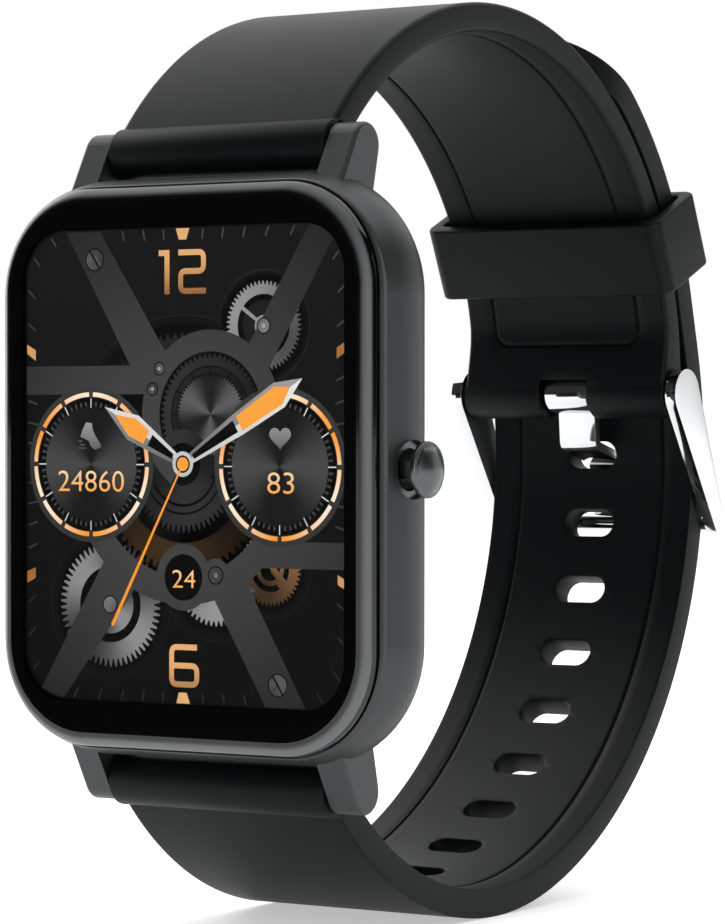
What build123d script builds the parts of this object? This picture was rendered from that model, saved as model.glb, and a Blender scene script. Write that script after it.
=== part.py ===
from build123d import *
import os
from math import acos, asin, atan2, cos, degrees, hypot, radians, sin, tan

# A wrist watch with a touch display, drawn in millimetres.
# +X is the crown side, +Z runs up to the twelve o'clock strap, +Y runs from the display to the wrist.
# The origin is the middle of the flat sensor window that lies on the skin.

# ---------------------------------------------------------------- driving dimensions
# Case
case_width = 36.8
case_height = 44.2
case_corner = 9.2
case_depth = 6.4
case_front_slope = 0.7          # front of the side wall leans in by this much
case_front_slope_depth = 2.4
case_front_blend = 6.0
case_rim_edge = 0.55
case_rear_edge = 3.0
rear_plate_setback = 1.2        # sensor window stands this far behind the rear plate
rim_width = 1.15                # metal left outside the glass at the front
rim_end_gain = 0.45             # the glass reaches this much further at the strap ends
cavity_wall = 2.5
cavity_end_gain = 0.4           # the cavity reaches this much further at the strap ends
ledge_depth = 0.35              # front rim to the ledge that carries the glass

# Glass and display
glass_stand = 1.2               # glass front stands this far before the rim
glass_skin = 0.8
glass_edge_wall = 1.4
glass_edge_radius = 1.15
gasket_thickness = 0.15
display_thickness = 1.0
display_margin = 0.35           # display edge to the wall of the glass pocket
flex_thickness = 0.15
flex_width = 10.0

# Lugs and strap width
strap_width = 20.0
lug_clearance = 0.22
lug_thickness = 2.45
lug_tip_radius = 1.7
lug_front_lean = 28.5
lug_rear_lean = 13.0
lug_edge = 0.3
lug_root_depth = 0.8            # the lugs start this far inside the sloped end wall
lug_bar_rise = 2.05             # spring bar axis beyond the end wall of the case
lug_bar_y = -2.25

# Strap
strap_thickness = 2.3
strap_gap = 0.25                # between the two straps where they lie on each other
wrist_radius = 28.1             # inner face of the buckle strap
wrist_y = 20.62
wrist_z = 6.48
back_radius = 34.73             # inner face of the holed strap behind the wrist
back_y = 17.92
back_z = 0.74
under_radius = 27.35            # inner face of the holed strap below the wrist
back_end_angle = -72.2
tail_angle = 66.0
tail_tip_length = 9.0
lug_barrel_radius = 2.05
buckle_barrel_radius = 2.1
hole_length = 4.9
hole_height = 2.4
hole_pitch = 6.0
hole_first_angle = -0.145
holes_below = 8
holes_above = 3

# Spring bars
bar_radius = 0.75
bar_spring_wire = 0.15
plunger_shaft_radius = 0.5
plunger_tip_radius = 0.45
plunger_reach = 0.9             # tip length outside the strap side
plunger_shaft_length = 2.2
bar_inset = 0.35                # tube end inside the strap side

# Buckle
buckle_pin_depth = 28.88        # pin axis from the wrist centre
buckle_pin_angle = -1.05
buckle_bar_angle = -9.282       # far bar on the strap, seen from the middle of its back bend
buckle_bar_gap = 0.227          # far bar to the strap's outer face
buckle_head_radius = 2.15
buckle_end_radius = 0.9
buckle_bar_radius = 0.8
buckle_arm_thickness = 1.0
buckle_arm_skin = 0.25          # metal left outside the blind hole of an arm
buckle_side_gap = 0.3
tongue_width = 3.6
tongue_thickness = 0.8
tongue_eye_width = 4.2
tongue_eye_radius = 1.6
tongue_slot_width = 4.9
tongue_rest_gap = 0.1
tongue_lean = 12.0
tongue_bend = 0.7
tongue_overhang = 0.9           # tip beyond the far bar
tongue_knee_drop = 0.35         # outer corner below the hole's middle
tongue_drop = (2.05, 0.84)      # corner inside the strap: inwards of its face and above the hole

# Keeper
keeper_angle = 24.15
keeper_length = 6.5
keeper_inner_wall = 1.3
keeper_outer_wall = 1.05
keeper_side_wall = 1.1
keeper_side_gap = 0.5
keeper_fit = 0.3
keeper_corner = 1.2
keeper_slot_corner = 0.5

# Crown
crown_y = -4.6
crown_cap_radius = 2.1
crown_cap_height = 0.5
crown_dome_height = 0.7
crown_dome_inset = 0.25
crown_cap_edge = 0.18
crown_stand = 0.8               # cap underside to the case side, more than the travel
crown_head_radius = 1.5
crown_head_length = 1.45
crown_notch_width = 1.3
crown_notch_depth = 0.45
crown_notches = 4
crown_shaft_radius = 0.9
crown_recess_depth = 1.5
crown_ring_radius = 2.15
crown_ring_wall = 0.55
crown_ring_height = 1.0
crown_ring_pocket = 0.8
bush_wall = 0.4
bush_inner_end = 15.2
seal_width = 0.5
seal_depth = 0.25
seal_groove_inset = 0.5
clip_thickness = 0.2
clip_lip = 0.45
clip_groove_depth = 0.2
clip_opening = 1.2

# Inside the case
chassis_thickness = 0.4
battery_size = (20.0, 3.2, 16.0)
battery_place = (-3.0, -6.4)
battery_edge = 1.2
shield_wall = 0.2
shield_height = 1.6
processor_height = 0.9
chip_height = 0.8
speaker_depth = 2.6
microphone_height = 1.0
board_side_gap = 1.6            # inner chassis edge line to the board
board_height = 16.0
board_thickness = 0.6
board_corner = 4.0
board_rear_y = -3.3
board_middle_z = 10.5
motor_radius = 2.9
motor_height = 2.4
motor_place = (12.1, -9.0)
motor_wall = 0.3
motor_rotor_height = 0.9
motor_shaft_radius = 0.35
motor_hub_wall = 0.5
screw_radius = 0.6
screw_head_radius = 1.0
screw_head_height = 0.45
screw_length = 2.4
screw_boss_wall = 0.7
screw_end_gap = 0.3
screw_slot_length = 1.3
screw_slot_width = 0.3
screw_slot_depth = 0.25
sensor_window_radius = 7.5
sensor_plateau_radius = 11.5
sensor_plateau_height = 0.7
sensor_window_thickness = 1.4
sensor_window_edge = 0.5
sensor_plateau_edge = 0.45
sensor_board_thickness = 0.4
sensor_board_inset = 0.6
contact_radius = 0.9
contact_spacing = 5.0
contact_z = -14.4
contact_edge = 0.2
contact_stand = 0.05            # contact face stands this far behind the cover
contact_tail = 0.3
magnet_radius = 1.3
magnet_thickness = 0.9
magnet_spacing = 12.0

# Clearances
running_fit = 0.05
seal_fit = 0.03
part_gap = 0.1
cover_gap = 0.1
rear_cover_thickness = 0.8
rear_gasket_thickness = 0.2
rear_cover_margin = 3.2         # case side to the pocket that takes the rear cover
rear_ledge = 1.8
opening_corner = 7.0
pocket_corner_gain = 0.6
display_gap = 0.02
rear_ledge_thickness = 0.5

# ---------------------------------------------------------------- places worked out from them
half_width = case_width / 2
half_height = case_height / 2
half_strap = strap_width / 2
rear_y = -rear_plate_setback
lug_tip_x = half_strap + lug_clearance + plunger_reach
buckle_tip_x = half_strap + buckle_side_gap + buckle_arm_thickness - buckle_arm_skin - part_gap
rim_y = rear_y - case_depth
glass_front_y = rim_y - glass_stand
ledge_y = rim_y + ledge_depth
glass_rear_y = ledge_y - gasket_thickness
display_front_y = glass_front_y + glass_skin + display_gap
display_rear_y = display_front_y + display_thickness
glass_half_width = half_width - rim_width - cover_gap
glass_half_height = half_height - rim_width + rim_end_gain - cover_gap
glass_corner = case_corner - rim_width
cavity_half_width = half_width - cavity_wall
cavity_half_height = half_height - cavity_wall + cavity_end_gain
cavity_corner = case_corner - cavity_wall
rear_pocket_y = rear_y - rear_cover_thickness - rear_gasket_thickness
rear_cover_inner_y = rear_y - rear_cover_thickness
cavity_rear_y = rear_pocket_y - rear_ledge_thickness
bar_z = half_height + lug_bar_rise
lug_inner_x = half_strap + lug_clearance
pin_y = wrist_y + buckle_pin_depth * cos(radians(buckle_pin_angle))
pin_z = wrist_z + buckle_pin_depth * sin(radians(buckle_pin_angle))
far_bar_reach = back_radius + strap_thickness + buckle_bar_gap + buckle_bar_radius
far_bar_y = back_y + far_bar_reach * cos(radians(buckle_bar_angle))
far_bar_z = back_z + far_bar_reach * sin(radians(buckle_bar_angle))
buckle_lean = atan2(far_bar_y - pin_y, pin_z - far_bar_z)
bore_radius = bar_radius + running_fit

side_plane = Plane.YZ


def slab(half_x, half_z, corner, front_y, back_y_value, middle_z=0.0):
    """A plate with round corners between two depths."""
    base = Plane(origin=(0, back_y_value, 0), x_dir=(1, 0, 0), z_dir=(0, -1, 0))
    outline = Pos(0, middle_z) * RectangleRounded(2 * half_x, 2 * half_z, corner)
    return extrude(base * outline, back_y_value - front_y)


def ring_slab(outer, inner, front_y, back_y_value):
    """A flat ring between two rounded outlines, each given as half width, half height and corner."""
    return slab(*outer, front_y, back_y_value) - slab(*inner, front_y - 1, back_y_value + 1)


def block(x_range, y_range, z_range):
    """A box given by its lowest and highest place along each axis."""
    size = [high - low for low, high in (x_range, y_range, z_range)]
    middle = [(high + low) / 2 for low, high in (x_range, y_range, z_range)]
    return Pos(*middle) * Box(*size)


def pad(x, z, width, height, rear, depth):
    """A box centred on a place, standing forward from its rear face."""
    x_range = (x - width / 2, x + width / 2)
    z_range = (z - height / 2, z + height / 2)
    return block(x_range, (rear - depth, rear), z_range)


def rod_x(radius, x_from, x_to, y, z):
    """A round bar along X."""
    return Pos((x_from + x_to) / 2, y, z) * Rot(0, 90, 0) * Cylinder(radius, abs(x_to - x_from))


def rod_y(radius, y_from, y_to, x, z):
    """A round bar along Y."""
    return Pos(x, (y_from + y_to) / 2, z) * Rot(90, 0, 0) * Cylinder(radius, abs(y_to - y_from))


def across(face, x_from, x_to):
    """Pulls an outline drawn in the YZ plane along X."""
    return Pos(x_from, 0, 0) * extrude(side_plane * face, x_to - x_from, dir=(1, 0, 0))


def on_circle(centre, radius, angle):
    """The point of a circle at an angle in degrees."""
    return (centre[0] + radius * cos(radians(angle)), centre[1] + radius * sin(radians(angle)))


def arc(centre, radius, start, sweep):
    """An arc from a start angle through a sweep, in degrees, with its seam at its own start."""
    return ThreePointArc(*(on_circle(centre, radius, start + sweep * share) for share in (0, 0.5, 1)))


def taper_link(start, start_radius, end, end_radius):
    """Outline of two round ends of different size joined by their tangent lines."""
    length = hypot(end[0] - start[0], end[1] - start[1])
    heading = degrees(atan2(end[1] - start[1], end[0] - start[0]))
    spread = degrees(acos((start_radius - end_radius) / length))
    corners = [
        on_circle(start, start_radius, heading + spread),
        on_circle(end, end_radius, heading + spread),
        on_circle(end, end_radius, heading - spread),
        on_circle(start, start_radius, heading - spread),
    ]
    web = Polygon(*corners, align=None)
    return web + Pos(*start) * Circle(start_radius) + Pos(*end) * Circle(end_radius)


def flip(solid):
    """The same piece on the six o'clock side."""
    return mirror(solid, Plane.XY)


def save(name, shape):
    """Writes one node."""
    shape.label = name
    export_step(shape, f"parts/{name}.step")


# ---------------------------------------------------------------- strap centre lines
wrist = (wrist_y, wrist_z)
back = (back_y, back_z)
lug_angle = degrees(atan2(bar_z - wrist_z, lug_bar_y - wrist_y))
tail_radius = wrist_radius + strap_thickness + strap_gap


def tangent_angle(first, first_radius, second, second_radius):
    """Angle of the normal of the straight line that touches two circles on the same side."""
    dy = first[0] - second[0]
    dz = first[1] - second[1]
    lean = degrees(acos((second_radius - first_radius) / hypot(dy, dz)))
    return degrees(atan2(dz, dy)) - lean


leave_angle = tangent_angle(wrist, tail_radius, back, back_radius)
under = on_circle(back, back_radius - under_radius, back_end_angle)
under_lug_angle = degrees(atan2(-bar_z - under[1], lug_bar_y - under[0]))


def holed_strap_edges(offset):
    """Edges of the holed strap's face at a distance outside its inner face, from lug to tail."""
    sweep_under = back_end_angle - under_lug_angle
    sweep_back = leave_angle - back_end_angle
    sweep_tail = tail_angle - leave_angle
    leave = on_circle(back, back_radius + offset, leave_angle)
    land = on_circle(wrist, tail_radius + offset, leave_angle)
    return [
        arc(under, under_radius + offset, under_lug_angle, sweep_under),
        arc(back, back_radius + offset, back_end_angle, sweep_back),
        Line(leave, land),
        arc(wrist, tail_radius + offset, leave_angle, sweep_tail),
    ]


def back_station(distance):
    """Foot point and outward angle on the holed strap, at a distance below the hole that the tongue uses."""
    angle = hole_first_angle - degrees(distance / back_radius)
    if angle < back_end_angle:
        past = radians(back_end_angle - angle) * back_radius
        turned = back_end_angle - degrees(past / under_radius)
        return on_circle(under, under_radius, turned), turned
    if angle < leave_angle:
        return on_circle(back, back_radius, angle), angle
    start = on_circle(back, back_radius, leave_angle)
    end = on_circle(wrist, tail_radius, leave_angle)
    run = hypot(end[0] - start[0], end[1] - start[1])
    past = radians(angle - leave_angle) * back_radius
    if past < run:
        return on_circle(start, past, leave_angle + 90), leave_angle
    turned = leave_angle + degrees((past - run) / tail_radius)
    return on_circle(wrist, tail_radius, turned), turned


# ---------------------------------------------------------------- case
def lug_outline():
    """Side outline of one lug: a round tip on a base that widens into the case."""
    tip = (lug_bar_y, bar_z)
    front = on_circle(tip, lug_tip_radius, 180 - lug_front_lean)
    rear = on_circle(tip, lug_tip_radius, -lug_rear_lean)
    root_z = half_height - case_front_slope - lug_root_depth
    front_root = (front[0] - (front[1] - root_z) * tan(radians(lug_front_lean)), root_z)
    rear_root = (rear[0] - (rear[1] - root_z) * tan(radians(lug_rear_lean)), root_z)
    return Polygon(front, front_root, rear_root, rear, align=None) + Pos(*tip) * Circle(lug_tip_radius)


def lugs():
    """The four lugs with the blind holes that take the spring bar tips."""
    lug = across(lug_outline(), lug_inner_x, lug_inner_x + lug_thickness)
    lug = fillet(lug.faces().sort_by(Axis.X)[-1].edges(), lug_edge)
    hole_depth = plunger_reach + part_gap
    hole_radius = plunger_tip_radius + running_fit
    lug -= rod_x(hole_radius, lug_inner_x - 1, lug_inner_x + hole_depth, lug_bar_y, bar_z)
    pair = lug + mirror(lug, Plane.YZ)
    return pair + flip(pair)


screw_places = []
pocket_half_width = half_width - rear_cover_margin
pocket_half_height = half_height - rear_cover_margin
pocket_corner = case_corner - rear_cover_margin + pocket_corner_gain
diagonal = sin(radians(45))
for side in (-1, 1):
    for end in (-1, 1):
        outer_x = pocket_half_width - pocket_corner * (1 - diagonal)
        outer_z = pocket_half_height - pocket_corner * (1 - diagonal)
        inner_x = pocket_half_width - rear_ledge - opening_corner * (1 - diagonal)
        inner_z = pocket_half_height - rear_ledge - opening_corner * (1 - diagonal)
        screw_places.append((side * (outer_x + inner_x) / 2, end * (outer_z + inner_z) / 2))


def case_body():
    """The metal middle: side walls, lugs, glass ledge, rear ledge and the crown's recess."""
    body = slab(half_width, half_height, case_corner, rim_y, rear_y)
    rear_edges = body.faces().sort_by(Axis.Y)[-1].edges()
    body = fillet(rear_edges, case_rear_edge)
    front = body.faces().sort_by(Axis.Y)[0]
    body = chamfer(front.edges(), case_front_slope, case_front_slope_depth, reference=front)
    slope_y = rim_y + case_front_slope_depth
    blend_edges = body.edges().filter_by_position(Axis.Y, slope_y - part_gap, slope_y + part_gap)
    body = fillet(blend_edges, case_front_blend)
    body = fillet(body.faces().sort_by(Axis.Y)[0].edges(), case_rim_edge)
    body += lugs()
    glass_pocket = (glass_half_width + cover_gap, glass_half_height + cover_gap, glass_corner + cover_gap)
    body -= slab(*glass_pocket, rim_y - 1, ledge_y)
    body -= slab(cavity_half_width, cavity_half_height, cavity_corner, ledge_y - 1, cavity_rear_y)
    body -= slab(pocket_half_width, pocket_half_height, pocket_corner, rear_pocket_y, rear_y + 1)
    opening = (pocket_half_width - rear_ledge, pocket_half_height - rear_ledge, opening_corner)
    body -= slab(*opening, rear_pocket_y - 1, rear_y + 1)
    for x, z in screw_places:
        body += rod_y(screw_radius + screw_boss_wall, rear_pocket_y - screw_length, rear_pocket_y, x, z)
    for x, z in screw_places:
        body -= rod_y(screw_radius + running_fit, rear_pocket_y - screw_length - 1, rear_pocket_y + 1, x, z)
    recess_x = half_width - crown_recess_depth
    body -= rod_x(crown_ring_radius + running_fit, recess_x, half_width + 1, crown_y, 0)
    bush_radius = crown_shaft_radius + running_fit + bush_wall
    body -= rod_x(bush_radius + running_fit, cavity_half_width - 1, recess_x + 1, crown_y, 0)
    return body


def cover_glass():
    """Cover glass with a curved edge and a pocket behind for the display."""
    glass = slab(glass_half_width, glass_half_height, glass_corner, glass_front_y, glass_rear_y)
    glass = fillet(glass.faces().sort_by(Axis.Y)[0].edges(), glass_edge_radius)
    pocket_corner_radius = glass_corner - glass_edge_wall
    pocket = (glass_half_width - glass_edge_wall, glass_half_height - glass_edge_wall, pocket_corner_radius)
    return glass - slab(*pocket, glass_front_y + glass_skin, glass_rear_y + 1)


def glass_gasket():
    """Adhesive ring between the glass and its ledge."""
    outer = (glass_half_width, glass_half_height, glass_corner)
    inner = (cavity_half_width + part_gap, cavity_half_height + part_gap, cavity_corner)
    return ring_slab(outer, inner, glass_rear_y, ledge_y)


display_half_width = glass_half_width - glass_edge_wall - display_margin
display_half_height = glass_half_height - glass_edge_wall - display_margin
display_corner = glass_corner - glass_edge_wall - display_margin
chassis_front_y = display_rear_y + part_gap
chassis_rear_y = chassis_front_y + chassis_thickness
inner_half_width = cavity_half_width - part_gap
inner_half_height = cavity_half_height - part_gap
board_front_y = board_rear_y - board_thickness
upper_window = (flex_width / 2 + 0.6, 1.2, 1.0)
lower_window = (4.0, 1.0, 0.9)
window_inset = 2.4
flex_inset = 2.2
flex_landing = 2.0


def inner_chassis():
    """Stamped plate behind the display with two windows for cables."""
    corner = cavity_corner - part_gap
    plate = slab(inner_half_width, inner_half_height, corner, chassis_front_y, chassis_rear_y)
    depth = (chassis_front_y - 1, chassis_rear_y + 1)
    plate -= slab(*upper_window, *depth, inner_half_height - window_inset)
    return plate - slab(*lower_window, *depth, -inner_half_height + window_inset)


def display_flex():
    """Ribbon that folds from the display edge back to the main board."""
    top_z = inner_half_height - flex_inset
    wide = (-flex_width / 2, flex_width / 2)
    strip = block(wide, (display_rear_y, board_front_y), (top_z, top_z + flex_thickness))
    tab_y = (board_front_y - flex_thickness, board_front_y)
    landing_z = board_middle_z + board_height / 2 - flex_landing
    return strip + block(wide, tab_y, (landing_z, top_z + flex_thickness))


def battery():
    """Pouch cell with rounded long edges."""
    x, z = battery_place
    front = chassis_rear_y + part_gap
    cell = block(
        (x - battery_size[0] / 2, x + battery_size[0] / 2),
        (front, front + battery_size[1]),
        (z - battery_size[2] / 2, z + battery_size[2] / 2),
    )
    return fillet(cell.edges().filter_by(Axis.Z), battery_edge)


def main_board():
    """Circuit board in the upper half of the case."""
    half_board = inner_half_width - board_side_gap
    board = slab(half_board, board_height / 2, board_corner, board_front_y, board_rear_y, board_middle_z)
    for x, z in screw_places:
        board -= rod_y(screw_radius + screw_boss_wall + part_gap, board_front_y - 1, board_rear_y + 1, x, z)
    return board


shield_y = (board_front_y - shield_height, board_front_y)
shield_x = (-9.5, 1.5)
shield_z = (5.0, 15.0)
processor_side = 7.0
side_chips = ((5.5, 7.0, 4.0, 4.0), (5.5, 12.5, 3.0, 3.6), (10.5, 6.5, 3.0, 3.0))


def board_shield():
    """Pressed can over the processor."""
    can = block(shield_x, shield_y, shield_z)
    inner_x = (shield_x[0] + shield_wall, shield_x[1] - shield_wall)
    inner_z = (shield_z[0] + shield_wall, shield_z[1] - shield_wall)
    return can - block(inner_x, (shield_y[0] + shield_wall, shield_y[1] + 1), inner_z)


def board_chips():
    """Processor under the can, and the memory, radio and charger chips beside it."""
    middle_x = sum(shield_x) / 2
    middle_z = sum(shield_z) / 2
    chips = [pad(middle_x, middle_z, processor_side, processor_side, board_front_y, processor_height)]
    for x, z, width, height in side_chips:
        chips.append(pad(x, z, width, height, board_front_y, chip_height))
    return Compound(children=chips)


motor_front_y = chassis_rear_y + part_gap
speaker_outline = (12.15, -4.05, 5.5, 3.3)
microphone_outline = (7.5, 16.2, 3.0, 2.0)
motor_rear_y = motor_front_y + motor_height


def motor_can():
    """Cup of the coin vibration motor."""
    x, z = motor_place
    cup = rod_y(motor_radius, motor_front_y, motor_rear_y - motor_wall, x, z)
    return cup - rod_y(motor_radius - motor_wall, motor_front_y + motor_wall, motor_rear_y, x, z)


def motor_base():
    """Plate that closes the motor, with the fixed shaft's seat."""
    x, z = motor_place
    plate = rod_y(motor_radius, motor_rear_y - motor_wall, motor_rear_y, x, z)
    return plate - rod_y(motor_shaft_radius, motor_rear_y - 1, motor_rear_y + 1, x, z)


def motor_shaft():
    """Fixed shaft that the eccentric weight turns on."""
    x, z = motor_place
    return rod_y(motor_shaft_radius, motor_front_y + motor_wall, motor_rear_y, x, z)


def motor_rotor():
    """Half-round eccentric weight with its hub."""
    x, z = motor_place
    middle = (motor_front_y + motor_rear_y) / 2
    low, high = middle - motor_rotor_height / 2, middle + motor_rotor_height / 2
    sweep_radius = motor_radius - motor_wall - 2 * part_gap
    weight = rod_y(sweep_radius, low, high, x, z)
    weight &= block((x - sweep_radius, x + sweep_radius), (low, high), (z - sweep_radius, z))
    hub = rod_y(motor_shaft_radius + motor_hub_wall, low, high, x, z)
    return weight + hub - rod_y(motor_shaft_radius + running_fit, low - 1, high + 1, x, z)


def rear_cover():
    """Moulded rear cover with a round plateau for the sensor window."""
    half_x = pocket_half_width - cover_gap
    half_z = pocket_half_height - cover_gap
    cover = slab(half_x, half_z, pocket_corner - cover_gap, rear_cover_inner_y, rear_y)
    plateau = rod_y(sensor_plateau_radius, rear_cover_inner_y, rear_y + sensor_plateau_height, 0, 0)
    plateau = fillet(plateau.faces().sort_by(Axis.Y)[-1].edges(), sensor_plateau_edge)
    cover += plateau
    cover -= rod_y(sensor_window_radius + part_gap, rear_cover_inner_y - 1, 1, 0, 0)
    for x, z in screw_places:
        cover -= rod_y(screw_radius + part_gap, rear_cover_inner_y - 1, rear_y + 1, x, z)
        cover -= rod_y(screw_head_radius + part_gap, rear_y - screw_head_height, rear_y + 1, x, z)
    for x in (-contact_spacing / 2, contact_spacing / 2):
        cover -= rod_y(contact_radius + running_fit, rear_cover_inner_y - 1, rear_y + 1, x, contact_z)
    return cover


def rear_gasket():
    """Flat seal under the rear cover, pierced for the screws."""
    outer = (pocket_half_width - cover_gap, pocket_half_height - cover_gap, pocket_corner - cover_gap)
    inner = (pocket_half_width - rear_ledge, pocket_half_height - rear_ledge, opening_corner)
    seal = ring_slab(outer, inner, rear_pocket_y, rear_cover_inner_y)
    for x, z in screw_places:
        seal -= rod_y(screw_radius + part_gap, rear_pocket_y - 1, rear_y, x, z)
    return seal


def rear_screws():
    """Four screws, each with a cross slot."""
    screws = []
    for x, z in screw_places:
        head_y = rear_y - running_fit
        screw = rod_y(screw_radius, rear_pocket_y - screw_length + screw_end_gap, head_y, x, z)
        screw += rod_y(screw_head_radius, rear_y - screw_head_height, head_y, x, z)
        slot_y = head_y + 1
        for width, height in ((screw_slot_length, screw_slot_width), (screw_slot_width, screw_slot_length)):
            screw -= pad(x, z, width, height, slot_y, screw_slot_depth + 1)
        screws.append(screw)
    return Compound(children=screws)


def sensor_window():
    """Clear window over the pulse sensor; its flat face is the origin of the frame."""
    window = rod_y(sensor_window_radius, -sensor_window_thickness, 0, 0, 0)
    return fillet(window.faces().sort_by(Axis.Y)[-1].edges(), sensor_window_edge)


sensor_board_radius = sensor_window_radius - sensor_board_inset
emitter_rear_y = -sensor_window_thickness - part_gap
emitter_height = 0.3
lamp_places = ((0, 2.6, 2.2, 1.4), (0, -2.6, 2.2, 1.4), (-3.2, 0, 1.6, 2.4), (3.2, 0, 1.6, 2.4))


def sensor_board():
    """Round board that carries the sensor's lamps."""
    rear = emitter_rear_y - emitter_height
    return rod_y(sensor_board_radius, rear - sensor_board_thickness, rear, 0, 0)


def sensor_emitters():
    """Two lamps and two detectors of the pulse sensor."""
    parts = []
    for x, z, width, height in lamp_places:
        parts.append(pad(x, z, width, height, emitter_rear_y, emitter_height))
    return Compound(children=parts)


def charge_contacts():
    """Two gold plated contacts for the charging cable."""
    pins = []
    for side in (-1, 1):
        x = side * contact_spacing / 2
        pin = rod_y(contact_radius, rear_cover_inner_y - contact_tail, rear_y + contact_stand, x, contact_z)
        pins.append(fillet(pin.faces().sort_by(Axis.Y)[-1].edges(), contact_edge))
    return Compound(children=pins)


def charge_magnets():
    """Two magnets that hold the charging cable."""
    front = rear_cover_inner_y - magnet_thickness
    magnets = []
    for x in (-magnet_spacing / 2, magnet_spacing / 2):
        magnets.append(rod_y(magnet_radius, front, rear_cover_inner_y, x, contact_z))
    return Compound(children=magnets)


# ---------------------------------------------------------------- crown
crown_cap_x = half_width + crown_stand
crown_head_x = crown_cap_x - crown_head_length
crown_ring_x = half_width - crown_recess_depth
crown_shaft_end = 14.8
switch_front_x = 14.22
switch_button_radius = 0.65
switch_size = (2.5, 3.0, 3.6)
switch_button_root = 13.7
clip_play = 0.02
clip_x = bush_inner_end - 0.33


def crown_bush():
    """Guide tube of the crown, with the ring seen in the recess and a groove for the seal."""
    sleeve_radius = crown_shaft_radius + running_fit + bush_wall
    bush = rod_x(crown_ring_radius, crown_ring_x, crown_ring_x + crown_ring_height, crown_y, 0)
    pocket_x = crown_ring_x + crown_ring_height - crown_ring_pocket
    bush -= rod_x(crown_ring_radius - crown_ring_wall, pocket_x, crown_ring_x + 2, crown_y, 0)
    bush += rod_x(sleeve_radius, bush_inner_end, crown_ring_x, crown_y, 0)
    bush -= rod_x(crown_shaft_radius + running_fit, bush_inner_end - 1, crown_ring_x + 2, crown_y, 0)
    groove_x = bush_inner_end + seal_groove_inset
    groove = (groove_x, groove_x + seal_width + part_gap)
    return bush - rod_x(crown_shaft_radius + running_fit + seal_depth, *groove, crown_y, 0)


def crown_seal():
    """Round seal ring in the bush's groove."""
    start = bush_inner_end + seal_groove_inset + part_gap / 2
    ring = rod_x(crown_shaft_radius + seal_fit + seal_depth, start, start + seal_width, crown_y, 0)
    return ring - rod_x(crown_shaft_radius + seal_fit, start - 1, start + seal_width + 1, crown_y, 0)


def crown_stem():
    """Shaft with a notched head under the cap and a groove for the clip."""
    stem = rod_x(crown_shaft_radius, crown_shaft_end, crown_head_x, crown_y, 0)
    head = rod_x(crown_head_radius, crown_head_x, crown_cap_x, crown_y, 0)
    for index in range(crown_notches):
        turn = Pos(0, crown_y, 0) * Rot(index * 360 / crown_notches, 0, 0)
        notch_x = (crown_head_x - 1, crown_cap_x)
        notch_y = (crown_head_radius - crown_notch_depth, crown_head_radius + 1)
        head -= turn * block(notch_x, notch_y, (-crown_notch_width / 2, crown_notch_width / 2))
    clip = (clip_x - clip_play, clip_x + clip_thickness + clip_play)
    groove = rod_x(crown_shaft_radius + 1, *clip, crown_y, 0)
    groove -= rod_x(crown_shaft_radius - clip_groove_depth, *clip, crown_y, 0)
    return stem - groove + head


def crown_cap():
    """Domed button on the stem."""
    rim_x = crown_cap_x + crown_cap_height
    chord = crown_cap_radius - crown_dome_inset
    dome_radius = (chord**2 + crown_dome_height**2) / (2 * crown_dome_height)
    cap = rod_x(crown_cap_radius, crown_cap_x, rim_x, crown_y, 0)
    cap = fillet(cap.edges().filter_by(GeomType.CIRCLE), crown_cap_edge)
    dome = Pos(rim_x + crown_dome_height - dome_radius, crown_y, 0) * Sphere(dome_radius)
    return cap + (dome & rod_x(chord, rim_x - part_gap, rim_x + 2, crown_y, 0))


def crown_clip():
    """Open clip that keeps the stem in the bush."""
    inner = crown_shaft_radius - clip_groove_depth + clip_play
    ring = rod_x(crown_shaft_radius + clip_lip, clip_x, clip_x + clip_thickness, crown_y, 0)
    ring -= rod_x(inner, clip_x - 1, clip_x + 1, crown_y, 0)
    opening = (-clip_opening / 2, clip_opening / 2)
    return ring - block((clip_x - 1, clip_x + 1), (crown_y, crown_y + 3), opening)


def side_switch():
    """Switch that the crown presses."""
    length, deep, tall = switch_size
    across_y = (crown_y - deep / 2, crown_y + deep / 2)
    housing = block((switch_front_x - length, switch_front_x), across_y, (-tall / 2, tall / 2))
    bore_x = switch_button_root - 0.7
    return housing - rod_x(switch_button_radius + running_fit, bore_x, switch_front_x + 1, crown_y, 0)


def switch_button():
    """Moving button of the switch."""
    return rod_x(switch_button_radius, switch_button_root, crown_shaft_end - running_fit, crown_y, 0)


# ---------------------------------------------------------------- straps
def buckle_strap():
    """Twelve o'clock strap: it carries the buckle on its end."""
    sweep = lug_angle - buckle_pin_angle
    inner = arc(wrist, wrist_radius, buckle_pin_angle, sweep)
    outer = arc(wrist, wrist_radius + strap_thickness, buckle_pin_angle, sweep)
    ends = [Line(inner @ 0, outer @ 0), Line(inner @ 1, outer @ 1)]
    outline = make_face([inner, outer, *ends])
    outline += Pos(pin_y, pin_z) * Circle(buckle_barrel_radius)
    outline += Pos(lug_bar_y, bar_z) * Circle(lug_barrel_radius)
    outline -= Pos(pin_y, pin_z) * Circle(bore_radius)
    outline -= Pos(lug_bar_y, bar_z) * Circle(bore_radius)
    strap = across(outline, -half_strap, half_strap)
    slot_y = (pin_y - 2 * buckle_barrel_radius, pin_y + 2 * buckle_barrel_radius)
    slot_z = (pin_z - 2 * buckle_barrel_radius, pin_z + buckle_barrel_radius + 0.1)
    return strap - block((-tongue_slot_width / 2, tongue_slot_width / 2), slot_y, slot_z)


def strap_hole(distance):
    """Cutter for one slot of the holed strap."""
    foot, angle = back_station(distance)
    out = (0, cos(radians(angle)), sin(radians(angle)))
    plane = Plane(origin=(0, *on_circle(foot, -1, angle)), x_dir=(1, 0, 0), z_dir=out)
    return extrude(plane * SlotOverall(hole_length, hole_height), strap_thickness + 2)


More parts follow.
